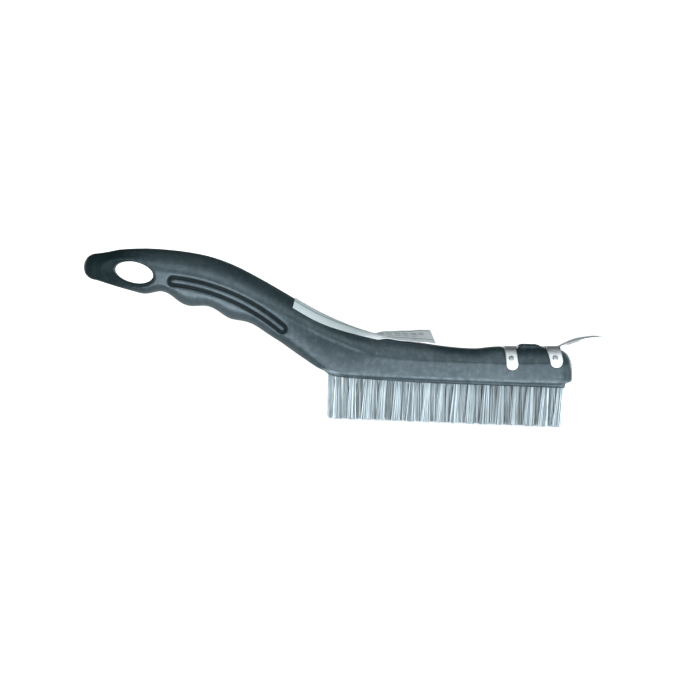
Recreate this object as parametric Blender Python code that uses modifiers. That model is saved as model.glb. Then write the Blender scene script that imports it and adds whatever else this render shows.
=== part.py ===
"""Long-handled wire brush with a steel scraper on its nose.

One moulded handle carries the brush head. Sixty-four tufts of steel wire stand in blind holes in the
head, four rows of sixteen with alternate rows half a step apart. Each tuft is folded over a short
staple that bites into the plastic beside its hole. The wires flare towards their tips, where each
tuft meets its partner in the next row, so the tufts are modelled in pairs. The scraper's saddle
wraps the head with four legs, each held by a drive pin, and a paper label is stuck over the neck.

Sizes are in millimetres and MM turns them into metres. +X points from the tail to the nose, +Z is
up, and the tips of the wires lie on Z = 0. The brush is stored standing on its wires.
"""

import math

import bmesh
import bpy
from mathutils import Matrix, Vector

MM = 0.001
GAP = 0.3  # room kept between pieces that touch on the real brush

# Handle, from the tail (x < 0) to the nose: [(x, value), ...], joined by a smooth curve.
TAIL_X = -143.0
NOSE_X = 127.7
TAIL_CAP_START = -135.6
NOSE_CAP_START = 118.0
TOP_LINE = [
    (-136, 85.4), (-130, 86.5), (-123, 88.1), (-108, 89.2), (-90, 88.5), (-74, 86.2), (-60, 81.8),
    (-45, 74.8), (-30, 66.9), (-15, 58.8), (0, 52.4), (15, 47.6), (30, 44.8), (45, 43.0), (60, 41.5),
    (74, 41.1), (83, 42.3), (88, 42.7), (130, 42.7),
]
BOTTOM_LINE = [
    (-136, 71.0), (-124, 67.7), (-111, 64.6), (-85, 58.9), (-60, 52.1), (-40, 44.7), (-20, 32.4),
    (-10, 26.7), (0, 25.0), (12, 24.4), (30, 24.1), (60, 23.9), (95, 24.0), (130, 24.5),
]
SHOULDER_LINE = [
    (-136, 78.4), (-110, 77.2), (-85, 74.3), (-60, 67.0), (-40, 58.5), (-17, 47.6), (0, 40.6),
    (12, 36.9), (30, 34.6), (45, 34.0), (130, 34.0),
]
HALF_WIDTH_LINE = [
    (-136, 6.6), (-130, 8.1), (-120, 9.8), (-108, 11.0), (-90, 12.1), (-70, 12.6), (-30, 12.9),
    (-15, 13.7), (0, 15.3), (12, 16.0), (130, 16.0),
]
SIDE_DRAFT_LINE = [  # how much narrower each side is at the shoulder than at its foot
    (-60, 0), (-42, 0.2), (-25, 1.0), (-10, 1.8), (2, 1.5), (12, 0.9), (22, 0.5), (35, 0.3), (130, 0.3),
]
FINGER_GROOVES = [(-98.0, 4.0), (-72.5, 2.9), (-50.0, 1.7)]  # (x of the middle, depth)
FINGER_GROOVE_HALF_LENGTH = 12.6
GRIP_END_X = -32.0  # the oval grip turns into the square-sided head from here
HEAD_START_X = 8.0
TOP_ROUND_TO_X = -15.0  # the top is as round as the grip's up to here
TOP_FLAT_FROM_X = 45.0  # and flat across from here
SHOULDER_LEAN = math.radians(24)  # how far the head's shoulders lean in above the crease
LEAN_FROM_X = 0.0  # the shoulders start to lean here
LEAN_FULL_X = 26.0
BLOCK_CORNER = 1.2
TOP_CROWN = 0.25
SEAT_START_X = 89.0  # the scraper's seat is sunk into the top from here to the nose
SEAT_RAMP = 0.4
SEAT_DEPTH = 1.1
SEAT_SLOPE = 0.04  # the head rises towards the nose along the seat
RIB_YS = (6.0, 9.6)  # two ribs stand between the legs, one on each side of the scraper's web
RIB_FOOT_Z = 39.0
RIB_SIDE_Z = 42.2  # height at which a rib's outer side is at the outer of RIB_YS
RIB_LEAN = 0.6  # and how far that side leans in for each millimetre of height
RIB_OUTLINE = [(97.4, 43.3), (99.6, 44.7), (108.6, 44.9), (109.3, 43.9), (112.0, 43.5)]
NOSE_FRONT_Z = 29.5
NOSE_FRONT_HALF_HEIGHT = 2.6
NOSE_CORNER = 6.6  # how far the sides of the nose turn in

GRIP_STEP = 4.8  # between the lofted sections
HEAD_STEP = 7.4
END_STATIONS = 6
CORNER_STEPS = 4
SIDE_STEPS = 3
SHOULDER_STEPS = 5

# Racetrack groove on each side of the grip: a closed loop round an arc.
GRIP_ARC_CENTRE = (-101.0, -38.8)
GRIP_ARC_RADIUS = 111.0
GRIP_ARC_FROM = math.radians(85.8)
GRIP_ARC_TO = math.radians(51.7)
GRIP_LOOP_HALF_WIDTH = 2.05
GRIP_GROOVE_RADIUS = 1.05
GRIP_GROOVE_SINK = 0.1

# Hanging hole through the tail, in the middle of a shallow dish on each side.
HANG_HOLE_AT = (-114.9, 75.9)
HANG_HOLE_HALF = (11.2, 5.7)
HANG_HOLE_TILT = math.radians(-10)
HANG_DISH_AT = (-117.4, 75.8)
HANG_DISH_HALF = (15.4, 8.3)
HANG_DISH_DEPTH = 3.4
HANG_DISH_SLANT = math.radians(7)  # the dishes follow the taper of the tail

# Brush head.
TUFTS_LONG = 16
ROW_YS = (-10.5, -3.5, 3.5, 10.5)
TUFT_PITCH = 8.1
FIELD_CENTRE_X = 58.4
TUFT_TIP_RADIUS = 3.35
TUFT_FACE_RADIUS = 1.95
TUFT_ROOT_RADIUS = 1.8
TUFT_FOLD_Z = 33.0
TUFT_SIDES = 6
PAIR_LEAN = 1.0  # the tips of a pair lean this far towards each other
END_LEAN = 0.9
# The face that the wires come out of.
FACE_LINE = [(-8.4, 26.2), (-5, 24.0), (3, 22.9), (20, 22.3), (50, 21.7), (123.5, 21.7)]
PLINTH_HALF_WIDTH = 14.5
STAPLE_LENGTH = 5.0
STAPLE_HEIGHT = 1.6
STAPLE_THICKNESS = 0.6
STAPLE_Z = 30.6

# Scraper.
SHEET = 1.0  # thickness of the scraper's steel
SADDLE_STATION_X = 100.0
SADDLE_TOP_Z = 48.0  # above all of the steel round the head
LEG_TURN_Z = 41.5  # a leg's edges are upright above here
REAR_LEG = (89.6, 95.8, 90.9, 97.2, 30.6)  # x of its edges at the top and at its end, z of its end
FRONT_LEG = (112.8, 120.4, 114.5, 121.5, 32.8)
WEB_HALF_WIDTH = 5.0  # the web joins the front and rear legs along the middle
WEB_FROM_X = 92.0
WEB_TO_X = 117.0
BLADE_LINE = [(117.0, 43.65), (120.4, 43.88), (124.0, 45.6), (128.5, 47.5), (133.5, 48.9), (143.0, 50.4)]
BLADE_HALF_WIDTH = 16.0
BLADE_NECK_HALF_WIDTH = 7.6
BLADE_EDGE = 0.35
PIN_UP_THE_SHOULDER = 2.6
PIN_HEAD_RADIUS = 1.5
PIN_HEAD_HEIGHT = 0.6
PIN_SHANK_RADIUS = 0.8
PIN_LENGTH = 7.5

# Label wrapped over the neck. Its front end has come off and curls up at the far side.
LABEL_START_X = -25.9
LABEL_START_SWEEP = 1.0  # its corners lie this far behind the middle of its rear end
LABEL_END_XS = (52.2, 49.3)  # its front end is cut aslant: near corner, far corner
LABEL_REACH = 11.3  # from its middle to an edge, along the paper
LABEL_LIFT_XS = (9.0, 26.0)  # where it starts to come off, and where it is free
LABEL_NEAR_EDGE = [(13, 43.6), (18, 43.8), (25, 44.9), (36, 44.0), (53, 43.2)]
LABEL_FAR_EDGE = [(16, 48.2), (30, 48.9), (53, 50.5)]
LABEL_FLATTEN = 0.96  # half width of the free end, as a share of the reach
LABEL_THICKNESS = 0.25
LABEL_GAP = 0.45

BRUSH_COLLECTION = "wire_brush"
CUTTER_COLLECTION = "cutters"


# ---------------------------------------------------------------- scene helpers


def clear_scene():
    for obj in list(bpy.data.objects):
        bpy.data.objects.remove(obj, do_unlink=True)


def collection(name):
    found = bpy.data.collections.get(name)
    if found is None:
        found = bpy.data.collections.new(name)
        bpy.context.scene.collection.children.link(found)
    return found


def material(name, colour, roughness, metallic=0.0):
    made = bpy.data.materials.new(name)
    made.use_nodes = True
    shader = made.node_tree.nodes["Principled BSDF"]
    shader.inputs["Base Color"].default_value = (*colour, 1.0)
    shader.inputs["Roughness"].default_value = roughness
    shader.inputs["Metallic"].default_value = metallic
    return made


def place(name, data, home, finish=None):
    obj = bpy.data.objects.new(name, data)
    collection(home).objects.link(obj)
    if finish is not None:
        data.materials.append(finish)
    return obj


def cutter(name, mesh):
    obj = place(name, mesh, CUTTER_COLLECTION)
    obj.hide_render = True
    obj.display_type = "WIRE"
    return obj


def mesh_from(name, bm):
    bmesh.ops.recalc_face_normals(bm, faces=bm.faces)
    mesh = bpy.data.meshes.new(name)
    bm.to_mesh(mesh)
    bm.free()
    return mesh


def boolean(obj, tool, operation):
    modifier = obj.modifiers.new(tool.name, "BOOLEAN")
    modifier.operation = operation
    modifier.solver = "EXACT"
    modifier.object = tool


def evaluated_mesh(obj, name):
    """A closed mesh of what a curve, or an object with modifiers, shows, in the object's own space."""
    graph = bpy.context.evaluated_depsgraph_get()
    mesh = bpy.data.meshes.new_from_object(obj.evaluated_get(graph))
    mesh.name = name
    bm = bmesh.new()
    bm.from_mesh(mesh)
    bmesh.ops.remove_doubles(bm, verts=bm.verts, dist=0.00001)
    bm.to_mesh(mesh)
    bm.free()
    return mesh


def smooth_shade(obj):
    obj.data.shade_smooth()
    obj.data.set_sharp_from_angle(angle=math.radians(35))


# ---------------------------------------------------------------- curves in the plane


def mix(a, b, share):
    return a + (b - a) * share


def smooth_step(low, high, x):
    t = min(max((x - low) / (high - low), 0.0), 1.0)
    return t * t * (3 - 2 * t)


def smooth_line(points, x):
    """The value at x of a smooth curve through points, level past its ends."""
    if x <= points[0][0]:
        return points[0][1]
    if x >= points[-1][0]:
        return points[-1][1]
    last = len(points) - 1
    i = max(k for k in range(last) if points[k][0] <= x)

    def slope(k):
        (x0, v0), (x1, v1) = points[max(k - 1, 0)], points[min(k + 1, last)]
        return (v1 - v0) / (x1 - x0)

    (x0, v0), (x1, v1) = points[i], points[i + 1]
    span = x1 - x0
    t = (x - x0) / span
    return (
        v0 * (1 + 2 * t) * (1 - t) ** 2
        + slope(i) * span * t * (1 - t) ** 2
        + v1 * t * t * (3 - 2 * t)
        + slope(i + 1) * span * t * t * (t - 1)
    )


def arc(centre, radius, start, end, steps):
    """Points on an arc in the plane, both ends included."""
    angles = [mix(start, end, k / steps) for k in range(steps + 1)]
    return [(centre[0] + radius * math.cos(a), centre[1] + radius * math.sin(a)) for a in angles]


def cubic(p0, p1, p2, p3, t):
    weights = ((1 - t) ** 3, 3 * t * (1 - t) ** 2, 3 * t * t * (1 - t), t**3)
    return tuple(sum(w * p[k] for w, p in zip(weights, (p0, p1, p2, p3))) for k in (0, 1))


def offset_path(path, distance):
    """path moved sideways to its left by distance."""
    moved = []
    for i, point in enumerate(path):
        before, after = path[max(i - 1, 0)], path[min(i + 1, len(path) - 1)]
        along = Vector((after[0] - before[0], after[1] - before[1])).normalized()
        moved.append((point[0] - along.y * distance, point[1] + along.x * distance))
    return moved


PLANES = {
    "XY": Matrix.Identity(4),
    "XZ": Matrix.Rotation(math.radians(90), 4, "X"),
    "YZ": Matrix(((0, 0, 1, 0), (1, 0, 0, 0), (0, 1, 0, 0), (0, 0, 0, 1))),
}


def slab(name, outline, half_depth, plane, centre=0.0):
    """A flat outline in the named plane, made as thick as twice half_depth about centre."""
    curve = bpy.data.curves.new(name, "CURVE")
    curve.dimensions = "2D"
    curve.fill_mode = "BOTH"
    curve.extrude = half_depth * MM
    spline = curve.splines.new("POLY")
    spline.points.add(len(outline) - 1)
    for point, (u, v) in zip(spline.points, outline):
        point.co = (u * MM, v * MM, 0, 1)
    spline.use_cyclic_u = True
    flat = place(name, curve, CUTTER_COLLECTION)
    mesh = evaluated_mesh(flat, name)
    bpy.data.objects.remove(flat)
    mesh.transform(PLANES[plane] @ Matrix.Translation((0, 0, centre * MM)))
    bm = bmesh.new()
    bm.from_mesh(mesh)
    bmesh.ops.recalc_face_normals(bm, faces=bm.faces)
    bm.to_mesh(mesh)
    bm.free()
    return mesh


# ---------------------------------------------------------------- shape of the handle


def bottom_z(x):
    height = smooth_line(BOTTOM_LINE, x)
    for middle, depth in FINGER_GROOVES:
        t = (x - middle) / FINGER_GROOVE_HALF_LENGTH
        if abs(t) < 1:
            height += depth * math.cos(t * math.pi / 2) ** 2
    if x > NOSE_CAP_START:
        front = NOSE_FRONT_Z - NOSE_FRONT_HALF_HEIGHT
        height = mix(height, front, nose_turn(x) ** 2)
    return height


def seat_rise(x):
    """How far the head has risen towards the nose since the scraper's seat started."""
    return SEAT_SLOPE * max(0.0, x - SEAT_START_X)


def top_z(x):
    height = smooth_line(TOP_LINE, x) + seat_rise(x)
    if x > SEAT_START_X:
        height -= SEAT_DEPTH
    if x > NOSE_CAP_START:
        height = mix(height, NOSE_FRONT_Z + NOSE_FRONT_HALF_HEIGHT, nose_turn(x))
    return height


def shoulder_z(x):
    height = smooth_line(SHOULDER_LINE, x) + seat_rise(x)
    if x > NOSE_CAP_START:
        height = mix(height, NOSE_FRONT_Z, nose_turn(x))
    return height


def half_width(x):
    width = smooth_line(HALF_WIDTH_LINE, x)
    return width - NOSE_CORNER * nose_turn(x) if x > NOSE_CAP_START else width


def shoulder_half_width(x):
    """Half the handle's width at its shoulder line."""
    return half_width(x) - smooth_line(SIDE_DRAFT_LINE, x)


def nose_turn(x):
    """0 where the rounding of the nose starts and 1 at its front, along a quarter circle."""
    t = min((x - NOSE_CAP_START) / (NOSE_X - NOSE_CAP_START), 1.0)
    return 1 - math.sqrt(1 - t * t)


def half_section(x):
    """Half of the handle's cross-section at x, as (y, z) from its lowest point round to its highest."""
    top, bottom, width, shoulder = top_z(x), bottom_z(x), half_width(x), shoulder_z(x)
    upper = shoulder_half_width(x)
    head = smooth_step(GRIP_END_X, HEAD_START_X, x)
    corner_y = mix(0.55 * width, BLOCK_CORNER, head)
    corner_z = mix(0.45 * (shoulder - bottom), BLOCK_CORNER, head)
    flatness = smooth_step(TOP_ROUND_TO_X, TOP_FLAT_FROM_X, x)
    flat = upper * mix(0.14, 0.54, flatness)
    lean = SHOULDER_LEAN * smooth_step(LEAN_FROM_X, LEAN_FULL_X, x)
    reach = mix(0.40, 0.87, flatness) * (top - shoulder)
    points = [(0.0, bottom)]
    for k in range(CORNER_STEPS + 1):
        a = math.radians(90) * (k / CORNER_STEPS - 1)
        points.append((width - corner_y * (1 - math.cos(a)), bottom + corner_z * (1 + math.sin(a))))
    for k in range(1, SIDE_STEPS):
        t = k / SIDE_STEPS
        points.append((mix(width, upper, t * t), mix(bottom + corner_z, shoulder, t)))
    leaning = (upper - reach * math.sin(lean), shoulder + reach * math.cos(lean))
    level = (flat + 0.37 * (upper - flat), top)
    for k in range(SHOULDER_STEPS + 1):
        points.append(cubic((upper, shoulder), leaning, level, (flat, top), k / SHOULDER_STEPS))
    points.append((0.0, top + TOP_CROWN))
    return points


def upper_section(x):
    """The part of the half section above the shoulder, from the side to the crown."""
    return half_section(x)[CORNER_STEPS + SIDE_STEPS + 1 :]


def surface_z(x, y):
    """Height of the handle's upper surface at (x, y)."""
    upper = upper_section(x)
    for (y0, z0), (y1, z1) in zip(upper, upper[1:]):
        if y1 <= abs(y) <= y0:
            return mix(z1, z0, (abs(y) - y1) / (y0 - y1))
    return shoulder_z(x)


def side_y(x, z):
    """Half the handle's width at (x, z)."""
    section = half_section(x)
    for (y0, z0), (y1, z1) in zip(section, section[1:]):
        if z0 <= z < z1:
            return mix(y0, y1, (z - z0) / (z1 - z0))
    return 0.0


def handle_stations():
    """The x of each lofted section between the rounded tail and the front of the nose."""
    seat_bottom = SEAT_START_X + SEAT_RAMP
    runs = (
        (TAIL_CAP_START, HEAD_START_X, GRIP_STEP),
        (HEAD_START_X, SEAT_START_X, HEAD_STEP),
        (SEAT_START_X, seat_bottom, SEAT_RAMP),
        (seat_bottom, NOSE_CAP_START, HEAD_STEP),
    )
    stations = [TAIL_CAP_START]
    for start, end, step in runs:
        count = round((end - start) / step)
        stations += [mix(start, end, k / count) for k in range(1, count + 1)]
    for k in range(1, END_STATIONS + 1):
        stations.append(mix(NOSE_CAP_START, NOSE_X, math.sin(math.radians(90) * k / END_STATIONS)))
    return stations


def handle_half():
    """The handle's half at y >= 0, open at y = 0, lofted between unlike sections."""
    bm = bmesh.new()
    rings = []
    first = half_section(TAIL_CAP_START)
    middle_z = (first[0][1] + first[-1][1]) / 2
    for k in range(1, END_STATIONS):
        a = math.radians(90) * k / END_STATIONS
        x = TAIL_CAP_START - (TAIL_CAP_START - TAIL_X) * math.cos(a)
        s = math.sin(a)
        rings.append([(x, y * s, middle_z + (z - middle_z) * s) for y, z in first])
    for x in handle_stations():
        rings.append([(x, y, z) for y, z in half_section(x)])
    verts = [[bm.verts.new(Vector(p) * MM) for p in ring] for ring in rings]
    tip = bm.verts.new(Vector((TAIL_X, 0, middle_z)) * MM)
    for lower, upper in zip(verts[0], verts[0][1:]):
        bm.faces.new((tip, upper, lower))
    for ring, following in zip(verts, verts[1:]):
        for k in range(len(ring) - 1):
            bm.faces.new((ring[k], ring[k + 1], following[k + 1], following[k]))
    bm.faces.new(verts[-1])
    return mesh_from("handle", bm)


def plinth_outline():
    """Side outline of the pad under the block: its lower edge is the face the wires come out of."""
    start, end = FACE_LINE[0][0], FACE_LINE[-1][0]
    lower = [(x, smooth_line(FACE_LINE, x)) for x in (start, -5, -1, 5, 12, 20, 35, 50, end)]
    return lower + [(end, 28.0), (start, 28.0)]


def tuft_places():
    """(x, y) of each tuft in one rank of four, the rows alternately ahead and behind."""
    return [(TUFT_PITCH / 4 * (1 if row % 2 == 0 else -1), y) for row, y in enumerate(ROW_YS)]


def rank_x(rank):
    return FIELD_CENTRE_X + (rank - (TUFTS_LONG - 1) / 2) * TUFT_PITCH


def tuft_hole_cutter():
    bm = bmesh.new()
    foot, end = 15.0, TUFT_FOLD_Z + GAP
    turn = Matrix.Rotation(math.radians(90), 4, "Z")  # a corner towards +X, as the tufts have
    for rank in range(TUFTS_LONG):
        for dx, y in tuft_places():
            at = Matrix.Translation(Vector((rank_x(rank) + dx, y, (foot + end) / 2)) * MM) @ turn
            bmesh.ops.create_cone(
                bm, cap_ends=True, segments=TUFT_SIDES, depth=(end - foot) * MM, matrix=at,
                radius1=(TUFT_FACE_RADIUS + GAP) * MM, radius2=(TUFT_ROOT_RADIUS + GAP) * MM,
            )
    return cutter("tuft_holes", mesh_from("tuft_holes", bm))


def staple_slot_cutter():
    bm = bmesh.new()
    size = (STAPLE_THICKNESS + 2 * GAP, STAPLE_LENGTH + 2 * GAP, STAPLE_HEIGHT + 2 * GAP)
    for rank in range(TUFTS_LONG):
        for dx, y in tuft_places():
            add_box(bm, (rank_x(rank) + dx, y, STAPLE_Z), size)
    return cutter("staple_slots", mesh_from("staple_slots", bm))


def add_box(bm, centre, size):
    at = Matrix.Translation(Vector(centre) * MM) @ Matrix.Diagonal((*(s * MM for s in size), 1))
    bmesh.ops.create_cube(bm, size=1.0, matrix=at)


def hang_hole_cutter():
    """The oval hole right through, and the dish on each side."""
    tilt = Matrix.Rotation(-HANG_HOLE_TILT, 4, "Y")
    bm = bmesh.new()
    oval = Matrix.Diagonal((HANG_HOLE_HALF[0] * MM, 30 * MM, HANG_HOLE_HALF[1] * MM, 1))
    upright = Matrix.Rotation(math.radians(90), 4, "X")
    at = Matrix.Translation(Vector((HANG_HOLE_AT[0], 0, HANG_HOLE_AT[1])) * MM)
    bmesh.ops.create_cone(
        bm, cap_ends=True, segments=24, radius1=1, radius2=1, depth=1, matrix=at @ tilt @ oval @ upright
    )
    hole = cutter("hang_hole", mesh_from("hang_hole", bm))
    bm = bmesh.new()
    dish = Matrix.Diagonal((HANG_DISH_HALF[0] * MM, HANG_DISH_DEPTH * MM, HANG_DISH_HALF[1] * MM, 1))
    lie = Matrix.Rotation(math.radians(90), 4, "X")
    for side in (-1, 1):
        y = side * half_width(HANG_DISH_AT[0])
        at = Matrix.Translation(Vector((HANG_DISH_AT[0], y, HANG_DISH_AT[1])) * MM)
        at = at @ Matrix.Rotation(side * HANG_DISH_SLANT, 4, "Z")
        bmesh.ops.create_uvsphere(bm, u_segments=24, v_segments=12, radius=1, matrix=at @ tilt @ dish @ lie)
    return hole, cutter("hang_dishes", mesh_from("hang_dishes", bm))


def grip_loop():
    """(x, z) points of the racetrack's centre line, once round."""
    cx, cz = GRIP_ARC_CENTRE
    outer = arc((cx, cz), GRIP_ARC_RADIUS + GRIP_LOOP_HALF_WIDTH, GRIP_ARC_FROM, GRIP_ARC_TO, 10)
    inner = arc((cx, cz), GRIP_ARC_RADIUS - GRIP_LOOP_HALF_WIDTH, GRIP_ARC_TO, GRIP_ARC_FROM, 10)
    loop = []
    for run, end_angle in ((outer, GRIP_ARC_TO), (inner, GRIP_ARC_FROM)):
        loop += run
        end = arc((cx, cz), GRIP_ARC_RADIUS, end_angle, end_angle, 1)[0]
        turn = math.pi if run is inner else 0.0
        loop += arc(end, GRIP_LOOP_HALF_WIDTH, end_angle + turn, end_angle + turn - math.pi, 5)[1:-1]
    return loop


def grip_groove_cutter(side):
    """A thin closed tube that lies half in the side of the grip."""
    name = "grip_groove_near" if side < 0 else "grip_groove_far"
    loop = grip_loop()
    curve = bpy.data.curves.new(name, "CURVE")
    curve.dimensions = "3D"
    curve.bevel_depth = GRIP_GROOVE_RADIUS * MM
    curve.bevel_resolution = 1
    spline = curve.splines.new("POLY")
    spline.points.add(len(loop) - 1)
    for point, (x, z) in zip(spline.points, loop):
        point.co = (x * MM, side * (side_y(x, z) - GRIP_GROOVE_SINK) * MM, z * MM, 1)
    spline.use_cyclic_u = True
    tube = place(name, curve, CUTTER_COLLECTION)
    mesh = evaluated_mesh(tube, name)
    bpy.data.objects.remove(tube)
    return cutter(name, mesh)


def scraper_rib(side):
    """One of the two ribs that the scraper's web lies between, and that its legs lie before and behind."""
    foot = [(RIB_OUTLINE[-1][0], RIB_FOOT_Z), (RIB_OUTLINE[0][0], RIB_FOOT_Z)]
    inner, outer = RIB_YS
    name = "rib_near" if side < 0 else "rib_far"
    rib = slab(name, RIB_OUTLINE + foot, (outer - inner) / 2, "XZ", centre=-side * (inner + outer) / 2)
    for vertex in rib.vertices:
        if abs(vertex.co.y) > (inner + outer) / 2 * MM:
            vertex.co.y = side * (outer * MM - RIB_LEAN * (vertex.co.z - RIB_SIDE_Z * MM))
    return cutter(name, rib)


def build_handle(finish):
    handle = place("handle", handle_half(), BRUSH_COLLECTION, finish)
    mirror = handle.modifiers.new("other half", "MIRROR")
    mirror.use_axis = (False, True, False)
    mirror.merge_threshold = 0.00005
    boolean(handle, cutter("plinth", slab("plinth", plinth_outline(), PLINTH_HALF_WIDTH, "XZ")), "UNION")
    for side in (-1, 1):
        boolean(handle, scraper_rib(side), "UNION")
    hole, dishes = hang_hole_cutter()
    boolean(handle, dishes, "DIFFERENCE")
    boolean(handle, hole, "DIFFERENCE")
    for side in (-1, 1):
        boolean(handle, grip_groove_cutter(side), "DIFFERENCE")
    boolean(handle, pin_hole_cutter(), "DIFFERENCE")
    boolean(handle, tuft_hole_cutter(), "DIFFERENCE")
    boolean(handle, staple_slot_cutter(), "DIFFERENCE")
    smooth_shade(handle)
    return handle


# ---------------------------------------------------------------- wires and staples


def turned(name, profile, steps):
    """A closed solid of revolution about Z from (r, z) points that run down its outer side."""
    mesh = bpy.data.meshes.new(name)
    points = [(r * MM, 0, z * MM) for r, z in profile]
    mesh.from_pydata(points, [(k, k + 1) for k in range(len(points) - 1)], [])
    obj = place(name, mesh, CUTTER_COLLECTION)
    screw = obj.modifiers.new("turn", "SCREW")
    screw.steps = screw.render_steps = steps
    screw.use_merge_vertices = True
    screw.merge_threshold = 0.00001
    return obj


def tuft_with_staple(name, at, lean):
    """One tuft folded over its staple, its root at the point at and its tips moved by lean."""
    face_z = FACE_LINE[-1][1]
    profile = [(0, TUFT_FOLD_Z), (TUFT_ROOT_RADIUS, TUFT_FOLD_Z), (TUFT_FACE_RADIUS, face_z),
               (TUFT_TIP_RADIUS, 0), (0, 0)]
    turn = turned(name + "_turn", profile, TUFT_SIDES)
    mesh = evaluated_mesh(turn, name)
    bpy.data.objects.remove(turn)
    for vert in mesh.vertices:
        if vert.co.z < 0.5 * face_z * MM:
            vert.co += Vector((*lean, 0)) * MM
    mesh.transform(Matrix.Translation(Vector((*at, 0)) * MM))
    tuft = cutter(name, mesh)
    bm = bmesh.new()
    add_box(bm, (*at, STAPLE_Z), (STAPLE_THICKNESS, STAPLE_LENGTH, STAPLE_HEIGHT))
    boolean(tuft, cutter(name + "_staple", mesh_from(name + "_staple", bm)), "UNION")
    return tuft


def end_lean(rank):
    """How far the tips of the first and last ranks lean in, which keeps the head's ends upright."""
    from_end = min(rank, TUFTS_LONG - 1 - rank)
    side = -1 if rank > TUFTS_LONG / 2 else 1
    return side * END_LEAN * max(0.0, 1 - from_end / 2)


def build_tufts(finish):
    """Each pair holds two tufts of neighbouring rows, whose tips lean together until they meet."""
    places = tuft_places()
    for rank in range(TUFTS_LONG):
        for side, (first, second) in (("near", (0, 1)), ("far", (3, 2))):
            name = f"wire_tufts_{side}_{rank + 1:02d}"
            between = Vector(places[second]) - Vector(places[first])
            meet = between.normalized() * PAIR_LEAN
            along = Vector((end_lean(rank), 0))
            outer, inner = (Vector((rank_x(rank), 0)) + Vector(places[row]) for row in (first, second))
            pair = tuft_with_staple(name + "_outer", outer, along + meet)
            boolean(pair, tuft_with_staple(name + "_inner", inner, along - meet), "UNION")
            place(name, evaluated_mesh(pair, name), BRUSH_COLLECTION, finish)


# ---------------------------------------------------------------- scraper and its pins


def saddle_band():
    """(y, z) outline of the steel round the head: an even thickness outside its section."""
    near = half_section(SADDLE_STATION_X)[CORNER_STEPS + 1 :]
    path = near + [(-y, z) for y, z in reversed(near[:-1])]
    inner = offset_path(path, -GAP)
    outer = offset_path(path, -GAP - SHEET)
    return inner + outer[::-1]


def leg_outline(leg):
    """Side outline of a leg, from above the head down to its rounded end."""
    top_rear, top_front, end_rear, end_front, low = leg
    radius = (end_front - end_rear) / 2
    end = arc(((end_rear + end_front) / 2, low + radius), radius, 0, -math.pi, 8)
    above = SADDLE_TOP_Z
    return [(top_rear, above), (top_front, above), (top_front, LEG_TURN_Z), *end, (top_rear, LEG_TURN_Z)]


def saddle_keep():
    """What is kept of the steel round the head: both pairs of legs, and the web along the middle."""
    keep = cutter("saddle_keep", slab("saddle_keep", leg_outline(REAR_LEG), 25, "XZ"))
    front = cutter("front_legs", slab("front_legs", leg_outline(FRONT_LEG), 25, "XZ"))
    boolean(keep, front, "UNION")
    bm = bmesh.new()
    low = 38.0
    middle = ((WEB_FROM_X + WEB_TO_X) / 2, 0, (low + SADDLE_TOP_Z - 1) / 2)
    add_box(bm, middle, (WEB_TO_X - WEB_FROM_X, 2 * WEB_HALF_WIDTH, SADDLE_TOP_Z - 1 - low))
    boolean(keep, cutter("web", mesh_from("web", bm)), "UNION")
    return keep


def blade_profile():
    """Side outline of the blade, which thins to its edge."""
    stations = (117.0, 119.6, 122, 124, 126.5, 129, 132, 136, 141.3, 143)
    path = [(x, smooth_line(BLADE_LINE, x)) for x in stations]
    halves = [0.35, 0.42] + [SHEET / 2] * (len(path) - 3) + [BLADE_EDGE / 2]
    above, below = [], []
    for i, (point, half) in enumerate(zip(path, halves)):
        before, after = path[max(i - 1, 0)], path[min(i + 1, len(path) - 1)]
        along = Vector((after[0] - before[0], after[1] - before[1])).normalized()
        above.append((point[0] - along.y * half, point[1] + along.x * half))
        below.append((point[0] + along.y * half, point[1] - along.x * half))
    return below + above[::-1]


def blade_plan():
    """Plan outline of the blade: a narrow neck that flares to the full width."""
    near = [(116, -5.5), (121, -BLADE_NECK_HALF_WIDTH), (124.5, -9.4), (128, -13.2), (131.5, -15.4)]
    near += [(135, -BLADE_HALF_WIDTH), (142.2, -BLADE_HALF_WIDTH), (144, -15.0)]
    return near + [(x, -y) for x, y in reversed(near)]


def shoulder_frame(side, x):
    """Where a pin goes through a leg: its seat on the plastic, and the way its head faces."""
    lean = SHOULDER_LEAN
    y = shoulder_half_width(x) - PIN_UP_THE_SHOULDER * math.sin(lean)
    z = shoulder_z(x) + PIN_UP_THE_SHOULDER * math.cos(lean)
    out = Vector((0, side * math.cos(lean), math.sin(lean)))
    turn = Vector((0, 0, 1)).rotation_difference(out).to_matrix().to_4x4()
    return Matrix.Translation(Vector((x, side * y, z)) * MM) @ turn


def pin_places():
    middles = {"rear": sum(REAR_LEG[:4]) / 4, "front": sum(FRONT_LEG[:4]) / 4}
    return [(side, end, x) for end, x in middles.items() for side in (-1, 1)]


def pin_hole_cutter():
    bm = bmesh.new()
    inside, outside = PIN_LENGTH + GAP, 3.0
    for side, _, x in pin_places():
        at = shoulder_frame(side, x) @ Matrix.Translation((0, 0, (outside - inside) / 2 * MM))
        radius = (PIN_SHANK_RADIUS + GAP) * MM
        bmesh.ops.create_cone(
            bm, cap_ends=True, segments=10, radius1=radius, radius2=radius,
            depth=(inside + outside) * MM, matrix=at,
        )
    found = bpy.data.objects.get("pin_holes")
    return found or cutter("pin_holes", mesh_from("pin_holes", bm))


def seat_shear():
    """Slopes what was made level at SADDLE_STATION_X to follow the seat."""
    shear = Matrix.Identity(4)
    shear[2][0] = SEAT_SLOPE
    shear[2][3] = -SEAT_SLOPE * SADDLE_STATION_X * MM
    return shear


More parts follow.
